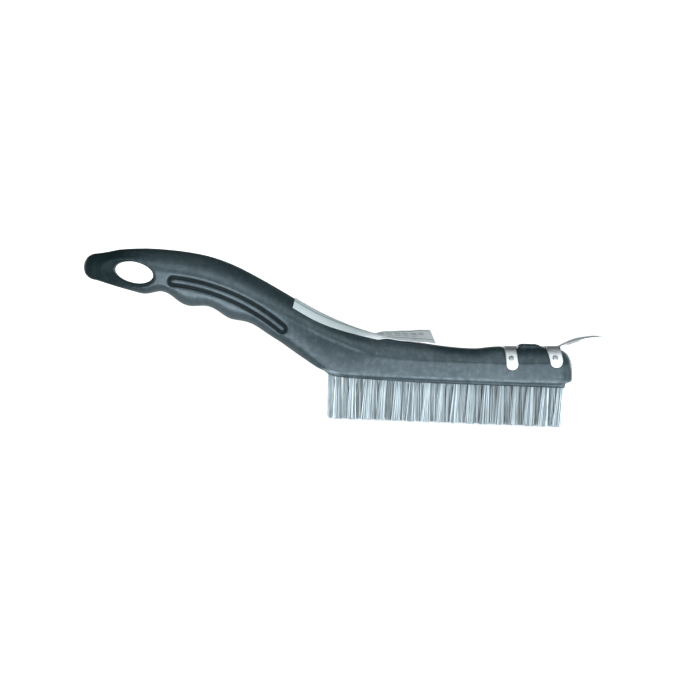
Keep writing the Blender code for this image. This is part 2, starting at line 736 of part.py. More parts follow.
def build_scraper(finish):
    saddle = slab("scraper", saddle_band(), 20.0, "YZ", centre=105.0)
    saddle.transform(seat_shear())
    scraper = place("scraper", saddle, BRUSH_COLLECTION, finish)
    boolean(scraper, saddle_keep(), "INTERSECT")
    blade = cutter("blade", slab("blade", blade_profile(), 20, "XZ"))
    plan = cutter("blade_plan", slab("blade_plan", blade_plan(), 30, "XY", centre=45))
    boolean(blade, plan, "INTERSECT")
    boolean(scraper, blade, "UNION")
    boolean(scraper, pin_hole_cutter(), "DIFFERENCE")
    smooth_shade(scraper)


def build_pins(finish):
    """Drive pins: a domed head on the leg and a shank in the plastic."""
    seat = GAP + SHEET + GAP
    dome = [(0.0, 1.0), (0.8, 0.8), (1.3, 0.4), (PIN_HEAD_RADIUS, 0.0)]
    profile = [(r, seat + PIN_HEAD_HEIGHT * h) for r, h in dome]
    profile += [(PIN_SHANK_RADIUS, seat), (PIN_SHANK_RADIUS, 1 - PIN_LENGTH), (0, -PIN_LENGTH)]
    for side, end, x in pin_places():
        pin = turned(f"scraper_pin_{'near' if side < 0 else 'far'}_{end}", profile, 10)
        collection(CUTTER_COLLECTION).objects.unlink(pin)
        collection(BRUSH_COLLECTION).objects.link(pin)
        pin.matrix_world = shoulder_frame(side, x)
        pin.data.materials.append(finish)


# ---------------------------------------------------------------- label


def wrapped(x, reach):
    """(y, z) on paper laid over the section at x, at a distance from the crown along the surface."""
    path = upper_section(x)[::-1]
    outside = offset_path(path, LABEL_GAP)
    gone = 0.0
    for k in range(len(path) - 1):
        step = math.dist(path[k], path[k + 1])
        if gone + step >= reach:
            break
        gone += step
    share = (reach - gone) / step
    return [mix(outside[k][i], outside[k + 1][i], share) for i in (0, 1)]


def label_point(along, share):
    """A point of the label's underside; share runs from -1 at its near edge to 1 at its far edge."""
    start = LABEL_START_X - LABEL_START_SWEEP * share**2
    x = mix(start, mix(*LABEL_END_XS, (share + 1) / 2), along)
    stuck_y, stuck_z = wrapped(x, abs(share) * LABEL_REACH)
    free_y = share * LABEL_REACH * LABEL_FLATTEN
    free_z = mix(smooth_line(LABEL_NEAR_EDGE, x), smooth_line(LABEL_FAR_EDGE, x), (share + 1) / 2)
    free_z = max(free_z, surface_z(x, free_y) + LABEL_GAP)
    lift = smooth_step(*LABEL_LIFT_XS, x)
    return Vector((x, mix(math.copysign(stuck_y, share), free_y, lift), mix(stuck_z, free_z, lift))) * MM


def build_label(finish):
    """A strip of paper that follows the neck and curls up at its front end."""
    across, along = 8, 14
    bm = bmesh.new()
    grid = [
        [bm.verts.new(label_point(i / along, 2 * j / across - 1)) for j in range(across + 1)]
        for i in range(along + 1)
    ]
    for i in range(along):
        for j in range(across):
            bm.faces.new((grid[i][j], grid[i + 1][j], grid[i + 1][j + 1], grid[i][j + 1]))
    mesh = bpy.data.meshes.new("paper_label")
    bm.to_mesh(mesh)
    bm.free()
    label = place("paper_label", mesh, BRUSH_COLLECTION, finish)
    solid = label.modifiers.new("paper", "SOLIDIFY")
    solid.thickness = LABEL_THICKNESS * MM
    solid.offset = 1


def main():
    clear_scene()
    plastic = material("black_plastic", (0.035, 0.042, 0.047), 0.55)
    wire = material("bristle_wire", (0.60, 0.65, 0.69), 0.32, 1.0)
    steel = material("scraper_steel", (0.78, 0.80, 0.81), 0.22, 1.0)
    pin = material("pin_steel", (0.50, 0.51, 0.53), 0.35, 1.0)
    paper = material("label_paper", (0.86, 0.90, 0.90), 0.7)
    build_handle(plastic)
    build_tufts(wire)
    build_scraper(steel)
    build_pins(pin)
    build_label(paper)


main()
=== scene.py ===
"""Looks of the wire brush: every wire, the moulded handle, the pressed scraper and the label.

Sizes are in millimetres, and MM turns them into the frame's metres. The brush stands on the tips of
its wires, with its tail towards -X and its scraper towards +X.
"""

import math
import random

import bmesh
import bpy
from mathutils import Matrix, Vector


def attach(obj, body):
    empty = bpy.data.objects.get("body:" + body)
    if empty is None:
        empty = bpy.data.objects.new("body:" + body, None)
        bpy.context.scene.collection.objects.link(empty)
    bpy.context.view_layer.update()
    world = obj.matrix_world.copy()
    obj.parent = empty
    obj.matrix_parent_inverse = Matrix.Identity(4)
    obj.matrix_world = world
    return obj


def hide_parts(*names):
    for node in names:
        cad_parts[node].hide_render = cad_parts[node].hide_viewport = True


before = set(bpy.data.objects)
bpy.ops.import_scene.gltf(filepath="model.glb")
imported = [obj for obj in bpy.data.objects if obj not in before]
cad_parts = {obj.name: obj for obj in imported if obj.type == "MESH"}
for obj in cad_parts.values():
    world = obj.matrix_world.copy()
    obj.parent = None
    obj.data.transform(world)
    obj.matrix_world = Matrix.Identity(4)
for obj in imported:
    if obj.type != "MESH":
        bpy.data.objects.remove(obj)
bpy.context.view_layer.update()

MM = 0.001
BODY = "root"

# Handle, from the tail (x < 0) to the nose: [(x, value), ...], joined by a smooth curve.
TAIL_X = -143.0
NOSE_X = 127.7
TAIL_CAP_START = -135.6
NOSE_CAP_START = 118.0
TOP_LINE = [
    (-136, 85.4), (-130, 86.5), (-123, 88.1), (-108, 89.2), (-90, 88.5), (-74, 86.2), (-60, 81.8),
    (-45, 74.8), (-30, 66.9), (-15, 58.8), (0, 52.4), (15, 47.6), (30, 44.8), (45, 43.0),
    (60, 41.5), (74, 41.1), (83, 42.3), (88, 42.7), (130, 42.7),
]
BOTTOM_LINE = [
    (-136, 71.0), (-124, 67.7), (-111, 64.6), (-85, 58.9), (-60, 52.1), (-40, 44.7), (-20, 32.4),
    (-10, 26.7), (0, 25.0), (12, 24.4), (30, 24.1), (60, 23.9), (95, 24.0), (130, 24.5),
]
SHOULDER_LINE = [
    (-136, 78.4), (-110, 77.2), (-85, 74.3), (-60, 67.0), (-40, 58.5), (-17, 47.6), (0, 40.6),
    (12, 36.9), (30, 34.6), (45, 34.0), (130, 34.0),
]
HALF_WIDTH_LINE = [
    (-136, 6.6), (-130, 8.1), (-120, 9.8), (-108, 11.0), (-90, 12.1), (-70, 12.6), (-30, 12.9),
    (-15, 13.7), (0, 15.3), (12, 16.0), (130, 16.0),
]
SIDE_DRAFT_LINE = [  # how much narrower each side is at the shoulder than at its foot
    (-60, 0), (-42, 0.2), (-25, 1.0), (-10, 1.8), (2, 1.5), (12, 0.9), (22, 0.5), (35, 0.3),
    (130, 0.3),
]
FINGER_GROOVES = [(-98.0, 4.0), (-72.5, 2.9), (-50.0, 1.7)]  # (x of the middle, depth)
FINGER_GROOVE_HALF_LENGTH = 12.6
GRIP_END_X = -32.0  # the oval grip turns into the square-sided head from here
HEAD_START_X = 8.0
TOP_ROUND_TO_X = -15.0  # the top is as round as the grip's up to here
TOP_FLAT_FROM_X = 45.0  # and flat across from here
SHOULDER_LEAN = math.radians(24)  # how far the head's shoulders lean in above the crease
LEAN_FROM_X = 0.0  # the shoulders start to lean here
LEAN_FULL_X = 26.0
BLOCK_CORNER = 1.2
TOP_CROWN = 0.25
SEAT_START_X = 89.0  # the scraper's seat is sunk into the top from here to the nose
SEAT_RAMP = 0.4
SEAT_DEPTH = 1.1
SEAT_SLOPE = 0.04  # the head rises towards the nose along the seat
RIB_YS = (6.0, 9.6)  # two ribs stand between the legs, one on each side of the scraper's web
RIB_FOOT_Z = 39.0
RIB_SIDE_Z = 42.2  # height at which a rib's outer side is at the outer of RIB_YS
RIB_LEAN = 0.6  # and how far that side leans in for each millimetre of height
RIB_OUTLINE = [(97.4, 43.3), (99.6, 44.7), (108.6, 44.9), (109.3, 43.9), (112.0, 43.5)]
NOSE_FRONT_Z = 29.5
NOSE_FRONT_HALF_HEIGHT = 2.6
NOSE_CORNER = 6.6  # how far the sides of the nose turn in
CORNER_STEPS = 9
SIDE_STEPS = 6
SHOULDER_STEPS = 12
STATION_STEP = 1.5
END_STATIONS = 10
MOULDED_VOXEL = 0.60  # the size of the roundings left on the moulded edges
MOULDED_SMOOTHING = 5

GRIP_ARC_CENTRE = (-101.0, -38.8)
GRIP_ARC_RADIUS = 111.0
GRIP_ARC_FROM = math.radians(85.8)
GRIP_ARC_TO = math.radians(51.7)
GRIP_LOOP_HALF_WIDTH = 2.05
GRIP_GROOVE_RADIUS = 1.05
GRIP_GROOVE_SINK = 0.1

HANG_HOLE_AT = (-114.9, 75.9)
HANG_HOLE_HALF = (11.2, 5.7)
HANG_HOLE_TILT = math.radians(-10)
HANG_HOLE_CUT = 30.0  # length of the cut, more than the tail is wide
HANG_DISH_AT = (-117.4, 75.8)
HANG_DISH_HALF = (15.4, 8.3)
HANG_DISH_DEPTH = 3.4
HANG_DISH_SLANT = math.radians(7)  # the dishes follow the taper of the tail

# Brush head.
TUFTS_LONG = 16
ROW_YS = (-10.5, -3.5, 3.5, 10.5)
TUFT_PITCH = 8.1
FIELD_CENTRE_X = 58.4
FACE_LINE = [(-8.4, 26.2), (-5, 24.0), (3, 22.9), (20, 22.3), (50, 21.7), (123.5, 21.7)]
PLINTH_HALF_WIDTH = 14.5
PLINTH_TOP_Z = 28.0  # inside the block
HOLE_RADIUS = 2.2
HOLE_CUT_FROM_Z = 15.0
FOLD_Z = 32.9
WIRES_IN_TUFT = 66
WIRE_RADIUS = 0.175
WIRE_SIDES = 6
ROOT_SPREAD = 1.7  # radius of the bundle in its hole, to the axis of its outermost wire
TIP_SPREAD = 2.55
PAIR_LEAN = 1.0
END_LEAN = 0.9
TIP_SCATTER = 0.16
BOW = 0.10
FOLD_SCATTER = 0.6
STRAY_SHARE = 0.04
STRAY_SCATTER = (0.9, 0.6)
RAGGED = 1.1  # the tips end up to this far short of the trim plane
STAPLE_Z = 30.6
STAPLE_SIZE = (0.6, 5.0, 1.6)

# Scraper.
SHEET = 1.0
SHEET_OFFSET = 0.8  # middle of the sheet, off the handle's surface
SHEET_EDGE = 0.12  # rounding of its cut edges
SADDLE_STATION_X = 100.0
LEG_TURN_Z = 41.5
REAR_LEG = (89.6, 95.8, 90.9, 97.2, 30.6)  # x of its edges at the top and at its end, z of its end
FRONT_LEG = (112.8, 120.4, 114.5, 121.5, 32.8)
WEB_HALF_WIDTH = 5.0
BLADE_LINE = [
    (117.0, 43.65), (120.4, 43.88), (124.0, 45.6), (128.5, 47.5), (133.5, 48.9), (143.0, 50.4),
]
BLADE_PLAN = [
    (122, 7.6), (124.5, 9.2), (127, 11.6), (130, 14.4), (133, 15.7), (136, 16.0), (142.6, 16.0),
]
BLADE_FREE_X = 122.0  # the sheet is all blade from here
NECK_XS = (117.5, 121.5)  # where it turns from the saddle into the blade's neck
NECK_YS = (10.5, 7.5)  # and how far out it does
BLADE_END_X = 143.0
BLADE_GRIND = 2.4  # length of the ground edge
BLADE_EDGE = 0.35
PIN_UP_THE_SHOULDER = 2.6
PIN_HEAD_RADIUS = 1.5
PIN_HEAD_HEIGHT = 0.6
PIN_SHANK_RADIUS = 0.8
PIN_LENGTH = 7.5
PIN_POINT = 1.0  # length of its point
PIN_RIM = 0.14  # height of the straight rim under the dome

# Label.
LABEL_START_X = -25.9
LABEL_START_SWEEP = 1.0
LABEL_END_XS = (52.2, 49.3)  # its front end is cut aslant: near corner, far corner
LABEL_REACH = 11.3  # from its middle to an edge, along the paper
LABEL_LIFT_XS = (9.0, 26.0)  # where it starts to come off, and where it is free
LABEL_NEAR_EDGE = [(13, 43.6), (18, 43.8), (25, 44.9), (36, 44.0), (53, 43.2)]
LABEL_FAR_EDGE = [(16, 48.2), (30, 48.9), (53, 50.5)]
LABEL_FLATTEN = 0.96
LABEL_CRUMPLE = 0.20
LABEL_THICKNESS = 0.22
LABEL_GAP = 0.38

# View: the camera looks at the near side of the brush and is rolled a little.
PICTURE_WIDTH = 385.0
CAMERA_DISTANCE = 1300.0
CAMERA_LOOK_AT = (5.4, -3.0, 37.8)
CAMERA_ELEVATION = math.radians(1.5)
CAMERA_ROLL = math.radians(2.2)
SENSOR_WIDTH = 36.0
BACKDROP_RADIUS = 9.0
ROOM_LEVELS = (0.85, 0.55, 0.24, 0.04)  # from low to high
LIGHT_TINT = (0.89, 0.985, 1.03)


# ---------------- scene helpers


def place(name, data, *finishes):
    obj = bpy.data.objects.new(name, data)
    bpy.context.scene.collection.objects.link(obj)
    for finish in finishes:
        data.materials.append(finish)
    return obj


def mesh_from(name, bm):
    bmesh.ops.recalc_face_normals(bm, faces=bm.faces)
    mesh = bpy.data.meshes.new(name)
    bm.to_mesh(mesh)
    bm.free()
    return mesh


def boolean(obj, tool, operation):
    modifier = obj.modifiers.new(tool.name, "BOOLEAN")
    modifier.operation = operation
    modifier.solver = "EXACT"
    modifier.object = tool


def baked(obj):
    """The mesh of obj with its modifiers applied, as a new mesh."""
    graph = bpy.context.evaluated_depsgraph_get()
    return bpy.data.meshes.new_from_object(obj.evaluated_get(graph))


def settle(obj, *tools):
    """Applies obj's modifiers and removes the tools that they used."""
    obj.data = baked(obj)
    obj.modifiers.clear()
    for tool in tools:
        bpy.data.objects.remove(tool)


def smooth_shade(obj, angle=35):
    obj.data.shade_smooth()
    obj.data.set_sharp_from_angle(angle=math.radians(angle))


def add_box(bm, centre, size):
    at = Matrix.Translation(Vector(centre) * MM) @ Matrix.Diagonal((*(s * MM for s in size), 1))
    return bmesh.ops.create_cube(bm, size=1.0, matrix=at)["verts"]


def mix(a, b, share):
    return a + (b - a) * share


def smooth_step(low, high, x):
    t = min(max((x - low) / (high - low), 0.0), 1.0)
    return t * t * (3 - 2 * t)


def smooth_line(points, x):
    """The value at x of a smooth curve through points, level past its ends."""
    if x <= points[0][0]:
        return points[0][1]
    if x >= points[-1][0]:
        return points[-1][1]
    last = len(points) - 1
    i = max(k for k in range(last) if points[k][0] <= x)

    def slope(k):
        (x0, v0), (x1, v1) = points[max(k - 1, 0)], points[min(k + 1, last)]
        return (v1 - v0) / (x1 - x0)

    (x0, v0), (x1, v1) = points[i], points[i + 1]
    span = x1 - x0
    t = (x - x0) / span
    return (
        v0 * (1 + 2 * t) * (1 - t) ** 2
        + slope(i) * span * t * (1 - t) ** 2
        + v1 * t * t * (3 - 2 * t)
        + slope(i + 1) * span * t * t * (t - 1)
    )


def arc(centre, radius, start, end, steps):
    """Points on an arc in the plane, both ends included."""
    angles = [mix(start, end, k / steps) for k in range(steps + 1)]
    return [(centre[0] + radius * math.cos(a), centre[1] + radius * math.sin(a)) for a in angles]


def cubic(p0, p1, p2, p3, t):
    weights = ((1 - t) ** 3, 3 * t * (1 - t) ** 2, 3 * t * t * (1 - t), t**3)
    return tuple(sum(w * p[k] for w, p in zip(weights, (p0, p1, p2, p3))) for k in (0, 1))


# ---------------- materials


class Shader:
    """A material whose nodes are added one line at a time."""

    def __init__(self, name, values):
        self.material = bpy.data.materials.new(name)
        self.material.use_nodes = True
        self.tree = self.material.node_tree
        self.surface = self.tree.nodes["Principled BSDF"]
        for socket, value in values.items():
            self.surface.inputs[socket].default_value = value
        self.object = self.node("TexCoord").outputs["Object"]

    def node(self, kind):
        return self.tree.nodes.new("ShaderNode" + kind)

    def link(self, value, socket):
        if isinstance(value, bpy.types.NodeSocket):
            self.tree.links.new(value, socket)
        else:
            socket.default_value = value

    def scaled(self, x=1, y=1, z=1):
        """Object coordinates in millimetres, stretched by a factor along each axis."""
        node = self.node("Mapping")
        self.link(self.object, node.inputs["Vector"])
        node.inputs["Scale"].default_value = (x / MM, y / MM, z / MM)
        return node.outputs["Vector"]

    def noise(self, size, detail=3.0, roughness=0.55, along=(1, 1, 1)):
        """Noise from 0 to 1 whose lumps are about size millimetres across."""
        node = self.node("TexNoise")
        self.link(self.scaled(*along), node.inputs["Vector"])
        node.inputs["Scale"].default_value = 1 / size
        node.inputs["Detail"].default_value = detail
        node.inputs["Roughness"].default_value = roughness
        return node.outputs["Fac"]

    def cells(self, size):
        """Distance to the nearest of a scatter of points about size millimetres apart."""
        node = self.node("TexVoronoi")
        self.link(self.scaled(), node.inputs["Vector"])
        node.inputs["Scale"].default_value = 1 / size
        return node.outputs["Distance"]

    def ramp(self, value, low, high, out_low=0.0, out_high=1.0):
        """A smooth change from out_low to out_high as value goes from low to high."""
        node = self.node("MapRange")
        node.interpolation_type = "SMOOTHSTEP"
        self.link(value, node.inputs["Value"])
        numbers = {"From Min": low, "From Max": high, "To Min": out_low, "To Max": out_high}
        for name, number in numbers.items():
            node.inputs[name].default_value = number
        return node.outputs["Result"]

    def math(self, operation, a, b=0.0):
        node = self.node("Math")
        node.operation = operation
        self.link(a, node.inputs[0])
        self.link(b, node.inputs[1])
        return node.outputs["Value"]

    def plus(self, a, b):
        return self.math("ADD", a, b)

    def minus(self, a, b):
        return self.math("SUBTRACT", a, b)

    def times(self, a, b):
        return self.math("MULTIPLY", a, b)

    def blend(self, share, a, b):
        """The colour a, with a share of b over it."""
        node = self.node("Mix")
        node.data_type = "RGBA"
        self.link(share, node.inputs[0])
        for value, socket in ((a, node.inputs[6]), (b, node.inputs[7])):
            self.link((*value, 1.0) if isinstance(value, tuple) else value, socket)
        return node.outputs[2]

    def axis(self, name):
        node = self.node("SeparateXYZ")
        self.link(self.scaled(), node.inputs["Vector"])
        return node.outputs[name]

    def attribute(self, name):
        """A number that the mesh holds at each point or face."""
        node = self.node("Attribute")
        node.attribute_name = name
        return node.outputs["Fac"]

    def band(self, value, low, high, edge=0.15):
        """1 where value is between low and high, with soft edges."""
        rise = self.ramp(value, low - edge, low + edge)
        return self.times(rise, self.ramp(value, high + edge, high - edge))

    def colour(self, value):
        self.link(value, self.surface.inputs["Base Color"])

    def roughness(self, value):
        self.link(value, self.surface.inputs["Roughness"])

    def bump(self, height, depth, strength=1.0):
        """Bump whose full height is depth millimetres."""
        node = self.node("Bump")
        node.inputs["Strength"].default_value = strength
        node.inputs["Distance"].default_value = depth * MM
        self.link(height, node.inputs["Height"])
        self.link(node.outputs["Normal"], self.surface.inputs["Normal"])


def racetrack(s, width):
    """1 in the groove on the side of the grip, up to width from its centre line."""
    cx, cz = GRIP_ARC_CENTRE
    dx, dz = s.minus(s.axis("X"), cx), s.minus(s.axis("Z"), cz)
    radius = s.math("SQRT", s.plus(s.times(dx, dx), s.times(dz, dz)))
    angle = s.math("ARCTAN2", dz, dx)
    before, after = s.minus(angle, GRIP_ARC_FROM), s.minus(GRIP_ARC_TO, angle)
    past = s.math("MAXIMUM", s.math("MAXIMUM", before, after), 0.0)
    past = s.times(past, GRIP_ARC_RADIUS)
    out = s.minus(radius, GRIP_ARC_RADIUS)
    squares = s.plus(s.times(out, out), s.times(past, past))
    from_arc = s.math("SQRT", squares)
    off = s.math("ABSOLUTE", s.minus(from_arc, GRIP_LOOP_HALF_WIDTH))
    return s.ramp(off, width, width * 0.55)


def black_plastic():
    """Moulded plastic: a fine matt grain, faint flow marks, dust, scuffs and nicks in places,
    painted highlights along the block's lower edge and the neck's crease, and painted shade on the
    tail and in the grip's groove.
    """
    s = Shader("black_plastic", {
        "Specular IOR Level": 0.9, "Specular Tint": (0.90, 1.0, 1.10, 1.0),
    })
    grain = s.noise(0.55, 4.0, 0.7)
    blotch = s.noise(3.2, 5.0, 0.6)
    flow = s.noise(16, 3.0, 0.5, along=(0.35, 1, 1))
    dust = s.ramp(s.noise(2.6, 6.0, 0.72), 0.55, 0.78)
    base = s.blend(s.ramp(grain, 0.3, 0.7), (0.008, 0.017, 0.019), (0.022, 0.036, 0.040))
    base = s.blend(s.ramp(flow, 0.35, 0.7, 0.0, 0.40), base, (0.028, 0.042, 0.047))
    base = s.blend(s.ramp(blotch, 0.50, 0.72, 0.0, 0.35), base, (0.052, 0.062, 0.066))
    base = s.blend(s.times(dust, 0.16), base, (0.15, 0.17, 0.18))
    # painted highlight: a lighter colour along the block's lower edge and the neck's crease
    painted_highlight = s.times(s.attribute("painted_highlight"), s.ramp(blotch, 0.30, 0.62, 0.45, 1.0))
    base = s.blend(painted_highlight, base, (0.21, 0.255, 0.285))
    scuffs = s.ramp(s.noise(1.4, 8.0, 0.78, along=(0.25, 1, 1.6)), 0.60, 0.68)
    near_edge = s.ramp(s.axis("Z"), 28.0, 24.5)
    nicks = s.times(s.ramp(s.cells(7.0), 0.055, 0.03), s.ramp(blotch, 0.50, 0.60))
    scuffs = s.times(scuffs, s.times(near_edge, 0.5))
    base = s.blend(scuffs, base, (0.19, 0.21, 0.22))
    base = s.blend(s.times(nicks, 0.7), base, (0.22, 0.25, 0.27))
    # painted shade: the racetrack groove is darkened nearly to black, as if deep in its own shadow;
    # it is also made rougher and less shiny
    groove = s.times(racetrack(s, 1.3), 0.72)
    base = s.blend(groove, base, (0.001, 0.002, 0.002))
    # painted shade: the tail past the hang hole is darkened, and its shine lowered too
    painted_tail_shade = s.times(s.attribute("painted_tail_shade"), s.ramp(blotch, 0.25, 0.6, 0.76, 0.90))
    base = s.blend(s.times(painted_tail_shade, 0.75), base, (0.005, 0.011, 0.012))
    s.colour(base)
    rough = s.ramp(s.plus(grain, s.times(flow, 0.5)), 0.4, 1.1, 0.31, 0.45)
    s.roughness(s.plus(rough, s.times(groove, 0.45)))
    shine = s.ramp(s.plus(blotch, s.times(flow, 0.6)), 0.55, 1.05, 0.50, 0.80)
    shine = s.plus(shine, s.times(s.attribute("polished"), 0.24))
    shine = s.times(shine, s.minus(1.0, s.math("MAXIMUM", groove, painted_tail_shade)))
    s.link(shine, s.surface.inputs["Specular IOR Level"])
    line = s.ramp(s.math("ABSOLUTE", s.axis("Y")), 0.28, 0.10)
    height = s.plus(s.times(grain, 0.5), s.times(s.cells(0.5), 0.35))
    s.bump(s.plus(height, s.times(line, 1.2)), 0.05, 0.7)
    return s.material


def bristle_wire():
    """Drawn steel wire: each wire has its own brightness, with a bluish cast and painted shade
    darkening its foot towards the block.
    """
    s = Shader("bristle_wire", {"Metallic": 1.0})
    tone = s.attribute("wire_tone")
    patina = s.noise(1.6, 4.0, 0.6, along=(1, 1, 0.25))
    base = s.blend(tone, (0.215, 0.238, 0.25), (0.455, 0.50, 0.525))
    base = s.blend(s.ramp(patina, 0.50, 0.75, 0.0, 0.45), base, (0.24, 0.27, 0.28))
    # painted shade: the wires are darker towards the block face, from z 14 upwards
    base = s.blend(s.ramp(s.axis("Z"), 14.0, 23.0, 0.0, 0.55), base, (0.16, 0.19, 0.21))
    s.colour(base)
    dull = s.ramp(patina, 0.5, 0.8, 0.0, 0.12)
    s.roughness(s.plus(s.ramp(tone, 0.0, 1.0, 0.44, 0.30), dull))
    s.bump(s.noise(0.12, 2.0, 0.5, along=(1, 1, 0.15)), 0.01, 0.4)
    return s.material


def staple_wire():
    s = Shader("staple_wire", {"Metallic": 1.0})
    s.colour(s.blend(s.noise(0.8), (0.42, 0.43, 0.43), (0.62, 0.62, 0.60)))
    s.roughness(s.ramp(s.noise(0.4), 0.3, 0.7, 0.32, 0.5))
    return s.material


def scraper_steel():
    """Rolled sheet: rolling lines along X, a few cross scratches and a dull film in places."""
    s = Shader("scraper_steel", {"Metallic": 1.0})
    lines = s.noise(0.30, 3.0, 0.6, along=(0.04, 1, 1))
    film = s.noise(5.0, 5.0, 0.6)
    scratches = s.ramp(s.noise(0.5, 2.0, 0.5, along=(1.2, 0.08, 0.3)), 0.70, 0.76)
    base = s.blend(s.ramp(lines, 0.3, 0.7), (0.82, 0.82, 0.81), (0.94, 0.94, 0.93))
    base = s.blend(s.ramp(film, 0.52, 0.75, 0.0, 0.4), base, (0.55, 0.58, 0.60))
    base = s.blend(s.times(scratches, 0.35), base, (0.50, 0.52, 0.53))
    s.colour(base)
    dull = s.ramp(film, 0.5, 0.8, 0.0, 0.12)
    s.roughness(s.plus(s.ramp(lines, 0.3, 0.7, 0.40, 0.52), dull))
    s.bump(s.minus(lines, s.times(scratches, 0.8)), 0.012, 0.35)
    return s.material


def pin_steel():
    """Plated pins, a little tarnished, with the marks of the hammer on their heads."""
    s = Shader("pin_steel", {"Metallic": 1.0})
    tarnish = s.noise(0.9, 5.0, 0.65)
    s.colour(s.blend(s.ramp(tarnish, 0.35, 0.7), (0.52, 0.53, 0.54), (0.24, 0.24, 0.23)))
    s.roughness(s.ramp(tarnish, 0.3, 0.7, 0.30, 0.52))
    s.bump(s.noise(0.5, 3.0, 0.6), 0.06, 0.5)
    return s.material


def label_paper():
    """Coated paper with plain printed bars: two border lines and rows of short blocks."""
    s = Shader("label_paper", {"Specular IOR Level": 0.4})
    along, across = s.attribute("label_along"), s.attribute("label_across")
    fibre = s.noise(0.45, 5.0, 0.65, along=(0.5, 1, 1))
    stain = s.noise(7.0, 4.0, 0.6)
    # painted light: the curled-up front of the strip, where it comes off the handle, is made much
    # lighter than its stuck rear, standing in for light on and through the flap
    paper_with_lit_flap = s.blend(s.ramp(along, 0.45, 0.62), (0.57, 0.61, 0.61), (0.92, 0.93, 0.92))
    base = s.blend(s.ramp(fibre, 0.3, 0.7, 0.0, 0.20), paper_with_lit_flap, (0.46, 0.50, 0.50))
    base = s.blend(s.ramp(stain, 0.50, 0.72, 0.0, 0.35), base, (0.42, 0.46, 0.465))
    lines = s.math("MAXIMUM", s.band(across, -0.52, -0.44, 0.02), s.band(across, 0.80, 0.88, 0.02))
    step = s.band(s.math("WRAP", s.times(along, 79.0), 5.2), 1.0, 4.4)
    upper = s.times(s.band(across, 0.18, 0.52, 0.03), s.band(along, 0.60, 0.94, 0.01))
    lower = s.times(s.band(across, -0.16, 0.0, 0.03), s.band(along, 0.60, 0.88, 0.01))
    blocks = s.times(s.math("MAXIMUM", upper, lower), step)
    ink = s.math("MAXIMUM", lines, s.times(blocks, 0.45))
    ink = s.times(ink, s.ramp(fibre, 0.2, 0.5, 0.55, 0.85))
    s.colour(s.blend(ink, base, (0.10, 0.20, 0.22)))
    s.roughness(s.ramp(fibre, 0.3, 0.7, 0.48, 0.62))
    s.bump(s.plus(fibre, s.times(stain, 1.5)), 0.04, 0.5)
    return s.material


# ---------------- shape of the handle


def nose_turn(x):
    """0 where the rounding of the nose starts and 1 at its front, along a quarter circle."""
    t = min(max((x - NOSE_CAP_START) / (NOSE_X - NOSE_CAP_START), 0.0), 1.0)
    return 1 - math.sqrt(1 - t * t)


def seat_rise(x):
    """How far the head has risen towards the nose since the scraper's seat started."""
    return SEAT_SLOPE * max(0.0, x - SEAT_START_X)


def bottom_z(x):
    height = smooth_line(BOTTOM_LINE, x)
    for middle, depth in FINGER_GROOVES:
        t = (x - middle) / FINGER_GROOVE_HALF_LENGTH
        if abs(t) < 1:
            height += depth * math.cos(t * math.pi / 2) ** 2
    return mix(height, NOSE_FRONT_Z - NOSE_FRONT_HALF_HEIGHT, nose_turn(x) ** 2)


def top_z(x):
    height = smooth_line(TOP_LINE, x) + seat_rise(x)
    if x > SEAT_START_X:
        height -= SEAT_DEPTH
    return mix(height, NOSE_FRONT_Z + NOSE_FRONT_HALF_HEIGHT, nose_turn(x))


def shoulder_z(x):
    return mix(smooth_line(SHOULDER_LINE, x) + seat_rise(x), NOSE_FRONT_Z, nose_turn(x))


def half_width(x):
    return smooth_line(HALF_WIDTH_LINE, x) - NOSE_CORNER * nose_turn(x)


def shoulder_half_width(x):
    """Half the handle's width at its shoulder line."""
    return half_width(x) - smooth_line(SIDE_DRAFT_LINE, x)


def half_section(x):
    """Half of the handle's cross-section at x, as (y, z) from its lowest point to its highest."""
    top, bottom, width, shoulder = top_z(x), bottom_z(x), half_width(x), shoulder_z(x)
    upper = shoulder_half_width(x)
    head = smooth_step(GRIP_END_X, HEAD_START_X, x)
    corner_y = mix(0.55 * width, BLOCK_CORNER, head)
    corner_z = mix(0.45 * (shoulder - bottom), BLOCK_CORNER, head)
    flatness = smooth_step(TOP_ROUND_TO_X, TOP_FLAT_FROM_X, x)
    flat = upper * mix(0.14, 0.54, flatness)
    lean = SHOULDER_LEAN * smooth_step(LEAN_FROM_X, LEAN_FULL_X, x)
    reach = mix(0.40, 0.87, flatness) * (top - shoulder)
    points = [(0.0, bottom)]
    for k in range(CORNER_STEPS + 1):
        a = math.radians(90) * (k / CORNER_STEPS - 1)
        points.append((width - corner_y * (1 - math.cos(a)), bottom + corner_z * (1 + math.sin(a))))
    for k in range(1, SIDE_STEPS):
        t = k / SIDE_STEPS
        points.append((mix(width, upper, t * t), mix(bottom + corner_z, shoulder, t)))
    leaning = (upper - reach * math.sin(lean), shoulder + reach * math.cos(lean))
    level = (flat + 0.37 * (upper - flat), top)
    for k in range(SHOULDER_STEPS + 1):
        points.append(cubic((upper, shoulder), leaning, level, (flat, top), k / SHOULDER_STEPS))
    points.append((0.0, top + TOP_CROWN))
    return points


def upper_section(x):
    """The part of the half section above the shoulder, from the side to the crown."""
    return half_section(x)[CORNER_STEPS + SIDE_STEPS + 1 :]


def surface_z(x, y):
    """Height of the handle's upper surface at (x, y)."""
    upper = upper_section(x)
    for (y0, z0), (y1, z1) in zip(upper, upper[1:]):
        if y1 <= abs(y) <= y0:
            return mix(z1, z0, (abs(y) - y1) / (y0 - y1))
    return shoulder_z(x)


def side_y(x, z):
    """Half the handle's width at (x, z)."""
    section = half_section(x)
    for (y0, z0), (y1, z1) in zip(section, section[1:]):
        if z0 <= z < z1:
            return mix(y0, y1, (z - z0) / (z1 - z0))
    return 0.0


